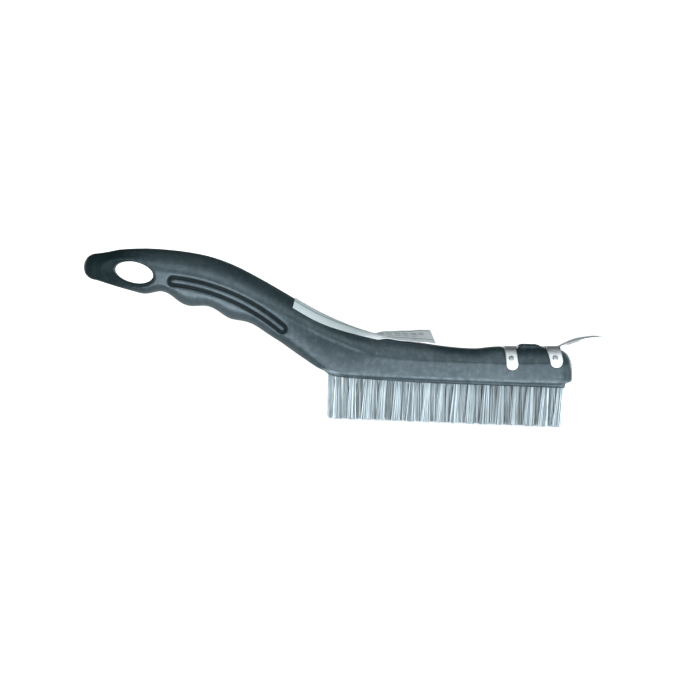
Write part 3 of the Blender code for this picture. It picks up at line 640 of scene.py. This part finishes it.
def handle_rings():
    """Closed cross-sections from the tail to the nose, all with the same number of points."""
    first = half_section(TAIL_CAP_START)
    middle_z = (first[0][1] + first[-1][1]) / 2
    halves = []
    for k in range(1, END_STATIONS):
        a = math.radians(90) * k / END_STATIONS
        x = TAIL_CAP_START - (TAIL_CAP_START - TAIL_X) * math.cos(a)
        halves.append((x, [(y * math.sin(a), mix(middle_z, z, math.sin(a))) for y, z in first]))
    stations = []
    for start, end in ((TAIL_CAP_START, SEAT_START_X), (SEAT_START_X + SEAT_RAMP, NOSE_CAP_START)):
        count = round((end - start) / STATION_STEP)
        stations += [mix(start, end, k / count) for k in range(count + 1)]
    for k in range(1, END_STATIONS + 1):
        stations.append(mix(NOSE_CAP_START, NOSE_X, math.sin(math.radians(90) * k / END_STATIONS)))
    halves += [(x, half_section(x)) for x in stations]
    rings = []
    for x, half in halves:
        rings.append([(x, y, z) for y, z in half] + [(x, -y, z) for y, z in half[-2:0:-1]])
    return (TAIL_X, 0, middle_z), rings


def handle_loft():
    bm = bmesh.new()
    tail, rings = handle_rings()
    verts = [[bm.verts.new(Vector(p) * MM) for p in ring] for ring in rings]
    tip = bm.verts.new(Vector(tail) * MM)
    size = len(verts[0])
    for k in range(size):
        bm.faces.new((tip, verts[0][(k + 1) % size], verts[0][k]))
    for ring, following in zip(verts, verts[1:]):
        for k in range(size):
            bm.faces.new((ring[k], ring[(k + 1) % size], following[(k + 1) % size], following[k]))
    bm.faces.new(verts[-1])
    return mesh_from("handle", bm)


def extruded(name, outline, y_from, y_to):
    """A side outline, as (x, z) points, made solid from y_from to y_to."""
    bm = bmesh.new()
    sides = [[bm.verts.new(Vector((x, y, z)) * MM) for x, z in outline] for y in (y_from, y_to)]
    for side in sides:
        bm.faces.new(side)
    for k in range(len(outline)):
        following = (k + 1) % len(outline)
        bm.faces.new((sides[0][k], sides[0][following], sides[1][following], sides[1][k]))
    return place(name, mesh_from(name, bm))


def plinth():
    """The low pad under the block, whose underside is the face the wires come out of."""
    start, end = FACE_LINE[0][0], FACE_LINE[-1][0]
    stations = (start, -7.2, -6, -5, -3, -1, 3, 8, 12, 16, 20, 27, 35, 42, 50, end)
    outline = [(x, smooth_line(FACE_LINE, x)) for x in stations]
    outline += [(end, PLINTH_TOP_Z), (start, PLINTH_TOP_Z)]
    return extruded("plinth", outline, -PLINTH_HALF_WIDTH, PLINTH_HALF_WIDTH)


def scraper_rib(side):
    """One of the two ribs between the scraper's legs, one on each side of its web."""
    foot = [(RIB_OUTLINE[-1][0], RIB_FOOT_Z), (RIB_OUTLINE[0][0], RIB_FOOT_Z)]
    inner, outer = RIB_YS
    rib = extruded("scraper_rib", RIB_OUTLINE + foot, *sorted((side * inner, side * outer)))
    for vertex in rib.data.vertices:
        if abs(vertex.co.y) > (inner + outer) / 2 * MM:
            vertex.co.y = side * (outer * MM - RIB_LEAN * (vertex.co.z - RIB_SIDE_Z * MM))
    return rib


def hang_hole():
    """The oval hole right through the tail, and the dish round it on each side."""
    tilt = Matrix.Rotation(-HANG_HOLE_TILT, 4, "Y")
    upright = Matrix.Rotation(math.radians(90), 4, "X")
    wide, high = HANG_HOLE_HALF
    oval = Matrix.Diagonal((wide * MM, HANG_HOLE_CUT * MM, high * MM, 1))
    at = Matrix.Translation(Vector((HANG_HOLE_AT[0], 0, HANG_HOLE_AT[1])) * MM)
    at = at @ tilt @ oval @ upright
    bm = bmesh.new()
    bmesh.ops.create_cone(bm, cap_ends=True, segments=64, radius1=1, radius2=1, depth=1, matrix=at)
    hole = place("hang_hole", mesh_from("hang_hole", bm))
    wide, high = HANG_DISH_HALF
    dish = Matrix.Diagonal((wide * MM, HANG_DISH_DEPTH * MM, high * MM, 1))
    bm = bmesh.new()
    for side in (-1, 1):
        y = side * half_width(HANG_DISH_AT[0])
        at = Matrix.Translation(Vector((HANG_DISH_AT[0], y, HANG_DISH_AT[1])) * MM)
        at = at @ Matrix.Rotation(side * HANG_DISH_SLANT, 4, "Z") @ tilt @ dish @ upright
        bmesh.ops.create_uvsphere(bm, u_segments=64, v_segments=32, radius=1, matrix=at)
    return hole, place("hang_dishes", mesh_from("hang_dishes", bm))


def grip_loop(steps=40, end_steps=14):
    """(x, z) points of the racetrack's centre line, once round."""
    wide = GRIP_LOOP_HALF_WIDTH
    loop = []
    for side, start, end in ((1, GRIP_ARC_FROM, GRIP_ARC_TO), (-1, GRIP_ARC_TO, GRIP_ARC_FROM)):
        loop += arc(GRIP_ARC_CENTRE, GRIP_ARC_RADIUS + side * wide, start, end, steps)
        middle = arc(GRIP_ARC_CENTRE, GRIP_ARC_RADIUS, end, end, 1)[0]
        turn = 0.0 if side > 0 else math.pi
        loop += arc(middle, wide, end + turn, end + turn - math.pi, end_steps)[1:-1]
    return loop


def grip_groove(side):
    """A closed tube that lies half in the side of the grip."""
    loop = grip_loop()
    curve = bpy.data.curves.new("grip_groove", "CURVE")
    curve.dimensions = "3D"
    curve.bevel_depth = GRIP_GROOVE_RADIUS * MM
    curve.bevel_resolution = 4
    spline = curve.splines.new("POLY")
    spline.points.add(len(loop) - 1)
    for point, (x, z) in zip(spline.points, loop):
        point.co = (x * MM, side * (side_y(x, z) - GRIP_GROOVE_SINK) * MM, z * MM, 1)
    spline.use_cyclic_u = True
    tube = place("grip_groove_tube", curve)
    mesh = baked(tube)
    bpy.data.objects.remove(tube)
    return place("grip_groove", mesh)


def tuft_places():
    """(x, y) of each tuft in one rank of four, the rows alternately ahead and behind."""
    return [(TUFT_PITCH / 4 * (1 if row % 2 == 0 else -1), y) for row, y in enumerate(ROW_YS)]


def rank_x(rank):
    return FIELD_CENTRE_X + (rank - (TUFTS_LONG - 1) / 2) * TUFT_PITCH


def tuft_holes():
    bm = bmesh.new()
    foot, end = HOLE_CUT_FROM_Z, FOLD_Z + 0.3
    for rank in range(TUFTS_LONG):
        for dx, y in tuft_places():
            at = Matrix.Translation(Vector((rank_x(rank) + dx, y, (foot + end) / 2)) * MM)
            bmesh.ops.create_cone(
                bm, cap_ends=True, segments=20, radius1=HOLE_RADIUS * MM, radius2=HOLE_RADIUS * MM,
                depth=(end - foot) * MM, matrix=at,
            )
    return place("tuft_holes", mesh_from("tuft_holes", bm))


def pin_frame(side, x):
    """Where a pin enters the plastic through its leg, with its own Z the way its head faces."""
    y = shoulder_half_width(x) - PIN_UP_THE_SHOULDER * math.sin(SHOULDER_LEAN)
    z = shoulder_z(x) + PIN_UP_THE_SHOULDER * math.cos(SHOULDER_LEAN)
    out = Vector((0, side * math.cos(SHOULDER_LEAN), math.sin(SHOULDER_LEAN)))
    turn = Vector((0, 0, 1)).rotation_difference(out).to_matrix().to_4x4()
    return Matrix.Translation(Vector((x, side * y, z)) * MM) @ turn


def pin_places():
    middles = {"rear": sum(REAR_LEG[:4]) / 4, "front": sum(FRONT_LEG[:4]) / 4}
    return [(side, end, x) for end, x in middles.items() for side in (-1, 1)]


def pin_holes(radius, inside):
    bm = bmesh.new()
    outside = 3.0
    for side, _, x in pin_places():
        at = pin_frame(side, x) @ Matrix.Translation((0, 0, (outside - inside) / 2 * MM))
        bmesh.ops.create_cone(
            bm, cap_ends=True, segments=20, radius1=radius * MM, radius2=radius * MM,
            depth=(inside + outside) * MM, matrix=at,
        )
    return place("pin_holes", mesh_from("pin_holes", bm))


def mark_painted_light_and_polish(mesh):
    """Holds at each point how much painted highlight (along the block's lower edge and the neck's
    crease) and painted shade (over the tail) the plastic gets, and how polished by hands it is.
    """
    painted_highlight, painted_tail_shade, polished = [], [], []
    for vertex in mesh.vertices:
        x, y, z = vertex.co / MM
        # painted highlight along the rounded lower edge of the block
        low = max(0.0, 1 - abs(z - bottom_z(x) - 0.55) / 0.95) * smooth_step(-14, -4, x)
        low *= smooth_step(half_width(x) - 2.2, half_width(x) - 1.0, abs(y))
        # painted highlight along the crease where the neck's side meets its shoulder
        crease = max(0.0, 1 - abs(z - shoulder_z(x) - 0.7) / 1.5)
        crease *= smooth_step(-24, -12, x) * smooth_step(18, 8, x) * 0.28
        painted_highlight.append(max(low, crease))
        # painted shade over the tail
        painted_tail_shade.append(smooth_step(-106, -126, x))
        polished.append(smooth_step(-112, -96, x) * smooth_step(-34, -56, x))
    for name, values in (("painted_highlight", painted_highlight), ("painted_tail_shade", painted_tail_shade), ("polished", polished)):
        mesh.attributes.new(name, "FLOAT", "POINT").data.foreach_set("value", values)


def build_handle(finish):
    handle = place("moulded_handle", handle_loft(), finish)
    hole, dishes = hang_hole()
    added = [plinth(), scraper_rib(-1), scraper_rib(1)]
    removed = [dishes, hole, grip_groove(-1), grip_groove(1)]
    for tool in added:
        boolean(handle, tool, "UNION")
    for tool in removed:
        boolean(handle, tool, "DIFFERENCE")
    remesh = handle.modifiers.new("moulded", "REMESH")
    remesh.mode = "VOXEL"
    remesh.voxel_size = MOULDED_VOXEL * MM
    soften = handle.modifiers.new("soft edges", "SMOOTH")
    soften.factor = 0.5
    soften.iterations = MOULDED_SMOOTHING
    settle(handle, *added, *removed)
    drilled = [tuft_holes(), pin_holes(PIN_SHANK_RADIUS + 0.1, PIN_LENGTH + 0.3)]
    for tool in drilled:
        boolean(handle, tool, "DIFFERENCE")
    settle(handle, *drilled)
    smooth_shade(handle, 40)
    mark_painted_light_and_polish(handle.data)
    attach(handle, BODY)
    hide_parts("handle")


# ---------------- wires


def packed_places(count, rng):
    """count points spread evenly over a disc of radius 1, with a little disorder."""
    turn = math.pi * (3 - math.sqrt(5))
    places = []
    for k in range(count):
        r = math.sqrt((k + 0.5) / count)
        a = k * turn + rng.uniform(-0.25, 0.25)
        places.append((r * math.cos(a), r * math.sin(a)))
    return places


def add_wire(bm, path, tone):
    """A thin closed tube along path, with flat cut ends, whose faces hold the wire's own tone."""
    rings = []
    for i, point in enumerate(path):
        before, after = path[max(i - 1, 0)], path[min(i + 1, len(path) - 1)]
        along = (after - before).normalized()
        side = along.cross(Vector((0, 1, 0))).normalized()
        other = along.cross(side)
        ring = []
        for k in range(WIRE_SIDES):
            a = 2 * math.pi * k / WIRE_SIDES
            offset = (side * math.cos(a) + other * math.sin(a)) * WIRE_RADIUS
            ring.append(bm.verts.new((point + offset) * MM))
        rings.append(ring)
    faces = [bm.faces.new(rings[0][::-1]), bm.faces.new(rings[-1])]
    for ring, following in zip(rings, rings[1:]):
        for k in range(WIRE_SIDES):
            after = (k + 1) % WIRE_SIDES
            faces.append(bm.faces.new((ring[k], ring[after], following[after], following[k])))
    layer = bm.faces.layers.float["wire_tone"]
    for face in faces:
        face[layer] = tone


def add_tuft(bm, at, lean, rng):
    """The legs of the wires of one tuft, flaring from its hole to the trim plane."""
    face_z = smooth_line(FACE_LINE, at.x)
    tuft_tone = rng.uniform(-0.10, 0.10)
    for px, py in packed_places(WIRES_IN_TUFT, rng):
        root = Vector((at.x + px * ROOT_SPREAD, at.y + py * ROOT_SPREAD, 0))
        tip = Vector((at.x + px * TIP_SPREAD, at.y + py * TIP_SPREAD, 0)) + Vector((*lean, 0))
        tip += Vector((rng.gauss(0, TIP_SCATTER), rng.gauss(0, TIP_SCATTER), 0))
        if rng.random() < STRAY_SHARE:
            tip += Vector((*(rng.gauss(0, spread) for spread in STRAY_SCATTER), 0))
        end_z = RAGGED * rng.random() ** 2 + 0.05
        bow = Vector((rng.gauss(0, BOW), rng.gauss(0, BOW), 0))
        fold = FOLD_Z - rng.random() * FOLD_SCATTER
        path = [Vector((root.x, root.y, fold)), Vector((root.x, root.y, face_z + 0.4))]
        for k in range(1, 6):
            t = k / 5
            point = root.lerp(tip, t**1.15) + bow * math.sin(math.pi * t)
            path.append(Vector((point.x, point.y, mix(face_z + 0.4, end_z, t))))
        add_wire(bm, path, min(max(rng.random() ** 1.3 + tuft_tone, 0.0), 1.0))


def end_lean(rank):
    """How far the tips of the first and last ranks lean in, which keeps the head's ends upright."""
    from_end = min(rank, TUFTS_LONG - 1 - rank)
    side = -1 if rank > TUFTS_LONG / 2 else 1
    return side * END_LEAN * max(0.0, 1 - from_end / 2)


def build_tufts(wire, staple):
    """Each piece holds the wires and staples of two tufts, as the node that it stands for."""
    places = tuft_places()
    rng = random.Random(16)
    for rank in range(TUFTS_LONG):
        for name, rows in (("near", (0, 1)), ("far", (3, 2))):
            node = f"wire_tufts_{name}_{rank + 1:02d}"
            outer, inner = (Vector((rank_x(rank) + places[row][0], places[row][1])) for row in rows)
            meet = (inner - outer).normalized() * PAIR_LEAN
            along = Vector((end_lean(rank), 0))
            bm = bmesh.new()
            bm.faces.layers.float.new("wire_tone")
            add_tuft(bm, outer, along + meet, rng)
            add_tuft(bm, inner, along - meet, rng)
            wires = len(bm.faces)
            for at in (outer, inner):
                add_box(bm, (at.x, at.y, STAPLE_Z), STAPLE_SIZE)
            bm.faces.ensure_lookup_table()
            for face in bm.faces[wires:]:
                face.material_index = 1
            tufts = place(f"wires_{name}_{rank + 1:02d}", mesh_from(node, bm), wire, staple)
            smooth_shade(tufts, 50)
            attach(tufts, BODY)
            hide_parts(node)


# ---------------- scraper


class SaddlePath:
    """The line that the sheet follows over the head, measured outwards from its middle."""

    def __init__(self):
        self.points = [Vector(p) for p in half_section(SADDLE_STATION_X)[:CORNER_STEPS:-1]]
        self.lengths = [0.0]
        for a, b in zip(self.points, self.points[1:]):
            self.lengths.append(self.lengths[-1] + (b - a).length)
        steps = [(b - a).normalized() for a, b in zip(self.points, self.points[1:])]
        between = [(a + b).normalized() for a, b in zip(steps, steps[1:])]
        self.along = [steps[0], *between, steps[-1]]

    def at(self, v):
        """(y, z) of the line at distance v >= 0, and its outward normal."""
        k = max(i for i in range(len(self.lengths) - 1) if self.lengths[i] <= v)
        share = (v - self.lengths[k]) / (self.lengths[k + 1] - self.lengths[k])
        along = self.along[k].lerp(self.along[k + 1], share).normalized()
        return self.points[k].lerp(self.points[k + 1], share), Vector((-along.y, along.x))

    def reach(self, x, z):
        """Distance along the line at which the sloping saddle is down to height z at x."""
        z -= SEAT_SLOPE * (x - SADDLE_STATION_X)
        k = max(i for i in range(len(self.points) - 1) if self.points[i].y >= z)
        a, b = self.points[k], self.points[k + 1]
        return mix(self.lengths[k], self.lengths[k + 1], (z - a.y) / (b.y - a.y))


def rounded(corner, before, after, radius, steps=5):
    """A corner of an outline turned into an arc."""
    corner = Vector(corner)
    to_before = (Vector(before) - corner).normalized()
    to_after = (Vector(after) - corner).normalized()
    half = to_before.angle(to_after) / 2
    run = radius / math.tan(half)
    centre = corner + (to_before + to_after).normalized() * (radius / math.sin(half))
    start = corner + to_before * run - centre
    end = corner + to_after * run - centre
    turn = start.angle_signed(end)
    return [tuple(centre + Matrix.Rotation(-turn * k / steps, 2) @ start) for k in range(steps + 1)]


def leg_outline(path, leg):
    """A leg in the flat pattern, from its rear edge down round its end and up its front edge."""
    top_rear, top_front, end_rear, end_front, low = leg
    radius = (end_front - end_rear) / 2
    end = arc(((end_rear + end_front) / 2, low + radius), radius, math.pi, 2 * math.pi, 20)
    side = [(top_rear, LEG_TURN_Z), *end, (top_front, LEG_TURN_Z)]
    return [(x, path.reach(x, z)) for x, z in side]


def sheet_outline(path):
    """The scraper's flat pattern as (x, distance from the middle): one half, then the other."""
    rear_front_x, front_rear_x, front_x = REAR_LEG[1], FRONT_LEG[0], FRONT_LEG[1]
    web, neck = WEB_HALF_WIDTH, BLADE_PLAN[0][1]
    half = leg_outline(path, REAR_LEG)
    half += rounded((rear_front_x, web), (rear_front_x, web + 5), (rear_front_x + 5, web), 1.0)
    half += rounded((front_rear_x, web), (front_rear_x - 5, web), (front_rear_x, web + 5), 1.0)
    half += leg_outline(path, FRONT_LEG)
    half += rounded((front_x, neck), (front_x, neck + 5), (front_x + 5, neck), 0.8, 3)
    half += [(x, smooth_line(BLADE_PLAN, x)) for x in range(123, 142)]
    wide = BLADE_PLAN[-1][1]
    half += rounded((BLADE_END_X, wide), (BLADE_END_X - 5, wide), (BLADE_END_X, 0), 0.8)
    return half + [(x, -v) for x, v in reversed(half)]


def pin_outline(path, side, x):
    """The hole for a pin, in the flat pattern."""
    middle = path.reach(x, shoulder_z(x) + PIN_UP_THE_SHOULDER * math.cos(SHOULDER_LEAN))
    return arc((x, side * middle), PIN_SHANK_RADIUS + 0.15, 0, 2 * math.pi, 16)[:-1]


def flat_sheet(outlines):
    """A flat sheet with rounded cut edges, lying about z = 0."""
    curve = bpy.data.curves.new("flat_sheet", "CURVE")
    curve.dimensions = "2D"
    curve.fill_mode = "BOTH"
    curve.extrude = SHEET / 2 - SHEET_EDGE
    curve.bevel_depth = SHEET_EDGE
    curve.bevel_resolution = 1
    curve.offset = -SHEET_EDGE
    for outline in outlines:
        spline = curve.splines.new("POLY")
        spline.points.add(len(outline) - 1)
        for point, (u, v) in zip(spline.points, outline):
            point.co = (u, v, 0, 1)
        spline.use_cyclic_u = True
    flat = place("flat_sheet", curve)
    mesh = baked(flat)
    bpy.data.objects.remove(flat)
    bm = bmesh.new()
    bm.from_mesh(mesh)
    bmesh.ops.remove_doubles(bm, verts=bm.verts, dist=0.002)
    return bm


def cut_across(bm, normal, distances):
    """Adds edges across the sheet so that it can bend there."""
    for distance in distances:
        everything = bm.verts[:] + bm.edges[:] + bm.faces[:]
        bmesh.ops.bisect_plane(
            bm, geom=everything, dist=1e-4, plane_co=normal * distance, plane_no=normal,
        )


def bent(path, co):
    """Where a point of the flat sheet goes: round the head, or along the blade past the nose."""
    x, v, w = co
    point, normal = path.at(abs(v))
    side = 1 if v >= 0 else -1
    saddle = Vector((x, side * point.x, point.y + SEAT_SLOPE * (x - SADDLE_STATION_X)))
    saddle += Vector((0, side * normal.x, normal.y)) * (w + SHEET_OFFSET)
    grind = smooth_step(BLADE_END_X - BLADE_GRIND, BLADE_END_X, x)
    half = mix(SHEET / 2, BLADE_EDGE / 2, grind)
    slope = smooth_line(BLADE_LINE, x + 0.5) - smooth_line(BLADE_LINE, x - 0.5)
    blade = Vector((x - slope * w, v, smooth_line(BLADE_LINE, x) + w * half / (SHEET / 2)))
    level = smooth_step(*NECK_XS, x) * smooth_step(*NECK_YS, abs(v))
    return saddle.lerp(blade, 1.0 if x > BLADE_FREE_X else level)


def build_scraper(finish):
    path = SaddlePath()
    holes = [pin_outline(path, side, x) for side, _, x in pin_places()]
    bm = flat_sheet([sheet_outline(path), *holes])
    cut_across(bm, Vector((0, 1, 0)), [0.7 * k for k in range(-38, 39)])
    cut_across(bm, Vector((1, 0, 0)), [0.8 * k for k in range(145, 179)])
    bmesh.ops.triangulate(bm, faces=bm.faces)
    for vert in bm.verts:
        vert.co = bent(path, vert.co) * MM
    scraper = place("pressed_scraper", mesh_from("pressed_scraper", bm), finish)
    smooth_shade(scraper, 32)
    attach(scraper, BODY)
    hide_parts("scraper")


def build_pins(finish):
    """Drive pins: a domed head with a rolled rim, and a pointed shank in the plastic."""
    seat = SHEET_OFFSET + SHEET / 2 + 0.02
    profile = []
    for k in range(9):
        a = math.radians(90) * k / 8
        rise = (PIN_HEAD_HEIGHT - PIN_RIM) * math.cos(a)
        profile.append((PIN_HEAD_RADIUS * math.sin(a), seat + PIN_RIM + rise))
    profile += [(PIN_HEAD_RADIUS, seat + 0.05), (PIN_HEAD_RADIUS - 0.06, seat)]
    profile += [(PIN_SHANK_RADIUS, seat), (PIN_SHANK_RADIUS, PIN_POINT - PIN_LENGTH)]
    profile.append((0, -PIN_LENGTH))
    points = [(r * MM, 0, z * MM) for r, z in profile]
    edges = [(k, k + 1) for k in range(len(points) - 1)]
    for side, end, x in pin_places():
        name = f"scraper_pin_{'near' if side < 0 else 'far'}_{end}"
        mesh = bpy.data.meshes.new(name)
        mesh.from_pydata(points, edges, [])
        pin = place(f"drive_{name}", mesh, finish)
        screw = pin.modifiers.new("turn", "SCREW")
        screw.steps = screw.render_steps = 32
        screw.use_merge_vertices = True
        screw.merge_threshold = 0.000005
        settle(pin)
        pin.data.transform(pin_frame(side, x))
        smooth_shade(pin)
        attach(pin, BODY)
        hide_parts(name)


# ---------------- label


def wrapped(x, reach):
    """(y, z) on paper laid over the section at x, a distance along the surface from the crown."""
    path = [Vector(p) for p in upper_section(x)[::-1]]
    gone = 0.0
    for before, after in zip(path, path[1:]):
        step = (after - before).length
        if gone + step >= reach:
            break
        gone += step
    along = (after - before) / step
    return before + along * (reach - gone) + Vector((-along.y, along.x)) * LABEL_GAP


def label_point(along, share):
    """A point of the label's underside; share runs from -1 at its near edge to 1 at its far one."""
    across = (share + 1) / 2
    start = LABEL_START_X - LABEL_START_SWEEP * share**2
    x = mix(start, mix(*LABEL_END_XS, across), along)
    stuck = wrapped(x, abs(share) * LABEL_REACH)
    free_y = share * LABEL_REACH * LABEL_FLATTEN
    free_z = mix(smooth_line(LABEL_NEAR_EDGE, x), smooth_line(LABEL_FAR_EDGE, x), across)
    free_z = max(free_z, surface_z(x, free_y) + LABEL_GAP)
    lift = smooth_step(*LABEL_LIFT_XS, x)
    crumple = LABEL_CRUMPLE * lift * math.sin(x * 0.42 + share * 2.3)
    crumple *= math.cos(x * 0.17 - share * 1.1)
    y = mix(math.copysign(stuck.x, share), free_y, lift)
    z = mix(stuck.y, free_z, lift) + crumple
    return Vector((x, y, z)) * MM


def build_label(finish):
    """A strip of paper that follows the neck and curls up at its front end."""
    across, along = 28, 96
    bm = bmesh.new()
    grid = [
        [bm.verts.new(label_point(i / along, 2 * j / across - 1)) for j in range(across + 1)]
        for i in range(along + 1)
    ]
    for i in range(along):
        for j in range(across):
            bm.faces.new((grid[i][j], grid[i + 1][j], grid[i + 1][j + 1], grid[i][j + 1]))
    mesh = bpy.data.meshes.new("peeling_label")
    bm.to_mesh(mesh)
    bm.free()
    shares = [(i / along, 2 * j / across - 1) for i in range(along + 1) for j in range(across + 1)]
    for k, name in enumerate(("label_along", "label_across")):
        held = mesh.attributes.new(name, "FLOAT", "POINT")
        held.data.foreach_set("value", [share[k] for share in shares])
    label = place("peeling_label", mesh, finish)
    solid = label.modifiers.new("paper", "SOLIDIFY")
    solid.thickness = LABEL_THICKNESS * MM
    solid.offset = 1
    settle(label)
    smooth_shade(label, 50)
    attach(label, BODY)
    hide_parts("paper_label")


# ---------------- studio


def camera_only(obj):
    """Lets the camera see obj, and keeps its light off the brush."""
    obj.visible_diffuse = False
    obj.visible_glossy = False
    obj.visible_transmission = False
    obj.visible_shadow = False


def build_floor():
    """A pale table that the wires stand on, a little less bright close to the brush."""
    s = Shader("table", {
        "Roughness": 0.7, "Specular IOR Level": 0.1,
        "Emission Color": (1.0, 1.0, 1.0, 1.0),
    })
    s.colour(s.blend(s.noise(60.0, 4.0), (0.78, 0.79, 0.80), (0.86, 0.86, 0.86)))
    distance = s.node("VectorMath")
    distance.operation = "LENGTH"
    s.link(s.object, distance.inputs[0])
    glow = s.ramp(distance.outputs["Value"], 0.20, 0.80, 0.80, 1.0)
    s.link(glow, s.surface.inputs["Emission Strength"])
    bm = bmesh.new()
    bmesh.ops.create_grid(bm, x_segments=8, y_segments=8, size=BACKDROP_RADIUS)
    floor = place("table", mesh_from("table", bm), s.material)
    floor.location.z = -0.0002
    camera_only(floor)


def build_backdrop():
    """A white dome all round, as bright as the table."""
    s = Shader("backdrop", {
        "Roughness": 0.9, "Specular IOR Level": 0.0,
        "Emission Color": (1.0, 1.0, 1.0, 1.0), "Emission Strength": 1.0,
    })
    s.colour(s.blend(s.noise(400.0, 2.0), (0.88, 0.88, 0.88), (0.92, 0.92, 0.92)))
    bm = bmesh.new()
    bmesh.ops.create_uvsphere(bm, u_segments=48, v_segments=24, radius=BACKDROP_RADIUS)
    dome = place("backdrop", mesh_from("backdrop", bm), s.material)
    camera_only(dome)


def build_world():
    """The light that the brush gets from the room: bright below and dark above."""
    world = bpy.data.worlds.new("studio")
    world.use_nodes = True
    bpy.context.scene.world = world
    nodes, links = world.node_tree.nodes, world.node_tree.links
    coords = nodes.new("ShaderNodeTexCoord")
    split = nodes.new("ShaderNodeSeparateXYZ")
    height = nodes.new("ShaderNodeMapRange")
    height.inputs["From Min"].default_value = -1.0
    ramp = nodes.new("ShaderNodeValToRGB")
    ramp.color_ramp.interpolation = "EASE"
    for at, level in zip((0.30, 0.45, 0.72, 0.90), ROOM_LEVELS):
        stop = ramp.color_ramp.elements.new(at)
        stop.color = (*(level * channel for channel in LIGHT_TINT), 1.0)
    ramp.color_ramp.elements.remove(ramp.color_ramp.elements[0])
    ramp.color_ramp.elements.remove(ramp.color_ramp.elements[-1])
    links.new(coords.outputs["Generated"], split.inputs["Vector"])
    links.new(split.outputs["Z"], height.inputs["Value"])
    links.new(height.outputs["Result"], ramp.inputs["Fac"])
    links.new(ramp.outputs["Color"], nodes["Background"].inputs["Color"])
    nodes["Background"].inputs["Strength"].default_value = 1.0


def soft_box(name, at, size, power, aim=(0, 0, 0.04)):
    light = bpy.data.lights.new(name, "AREA")
    light.shape = "RECTANGLE"
    light.size, light.size_y = size
    light.energy = power
    light.color = LIGHT_TINT
    obj = place(name, light)
    obj.location = at
    obj.rotation_euler = (Vector(aim) - Vector(at)).to_track_quat("-Z", "Y").to_euler()
    return obj


def build_camera():
    camera = bpy.data.cameras.new("camera")
    camera.sensor_width = SENSOR_WIDTH
    camera.lens = SENSOR_WIDTH * CAMERA_DISTANCE / PICTURE_WIDTH
    camera.clip_start = 0.01
    camera.clip_end = 60
    obj = place("camera", camera)
    back = Vector((0, -math.cos(CAMERA_ELEVATION), math.sin(CAMERA_ELEVATION)))
    obj.location = (Vector(CAMERA_LOOK_AT) + back * CAMERA_DISTANCE) * MM
    facing = back.to_track_quat("Z", "Y").to_matrix().to_4x4()
    obj.rotation_euler = (facing @ Matrix.Rotation(CAMERA_ROLL, 4, "Z")).to_euler()
    bpy.context.scene.camera = obj


def build_studio():
    build_world()
    build_floor()
    build_backdrop()
    soft_box("front_box", (0.27, -1.6, -0.24), (2.3, 1.10), 34)
    soft_box("upper_strip", (0.2, -1.1, 1.24), (1.8, 0.50), 8)
    soft_box("right_box", (1.5, -0.5, 0.15), (0.5, 0.8), 4)
    soft_box("back_left_box", (-1.5, 1.5, 0.25), (1.4, 1.0), 20)
    soft_box("back_right_box", (1.5, 1.5, 0.25), (1.4, 1.0), 20)
    build_camera()
    bpy.context.scene.view_settings.view_transform = "Standard"


def main():
    plastic = black_plastic()
    build_handle(plastic)
    build_tufts(bristle_wire(), staple_wire())
    build_scraper(scraper_steel())
    build_pins(pin_steel())
    build_label(label_paper())
    build_studio()


main()
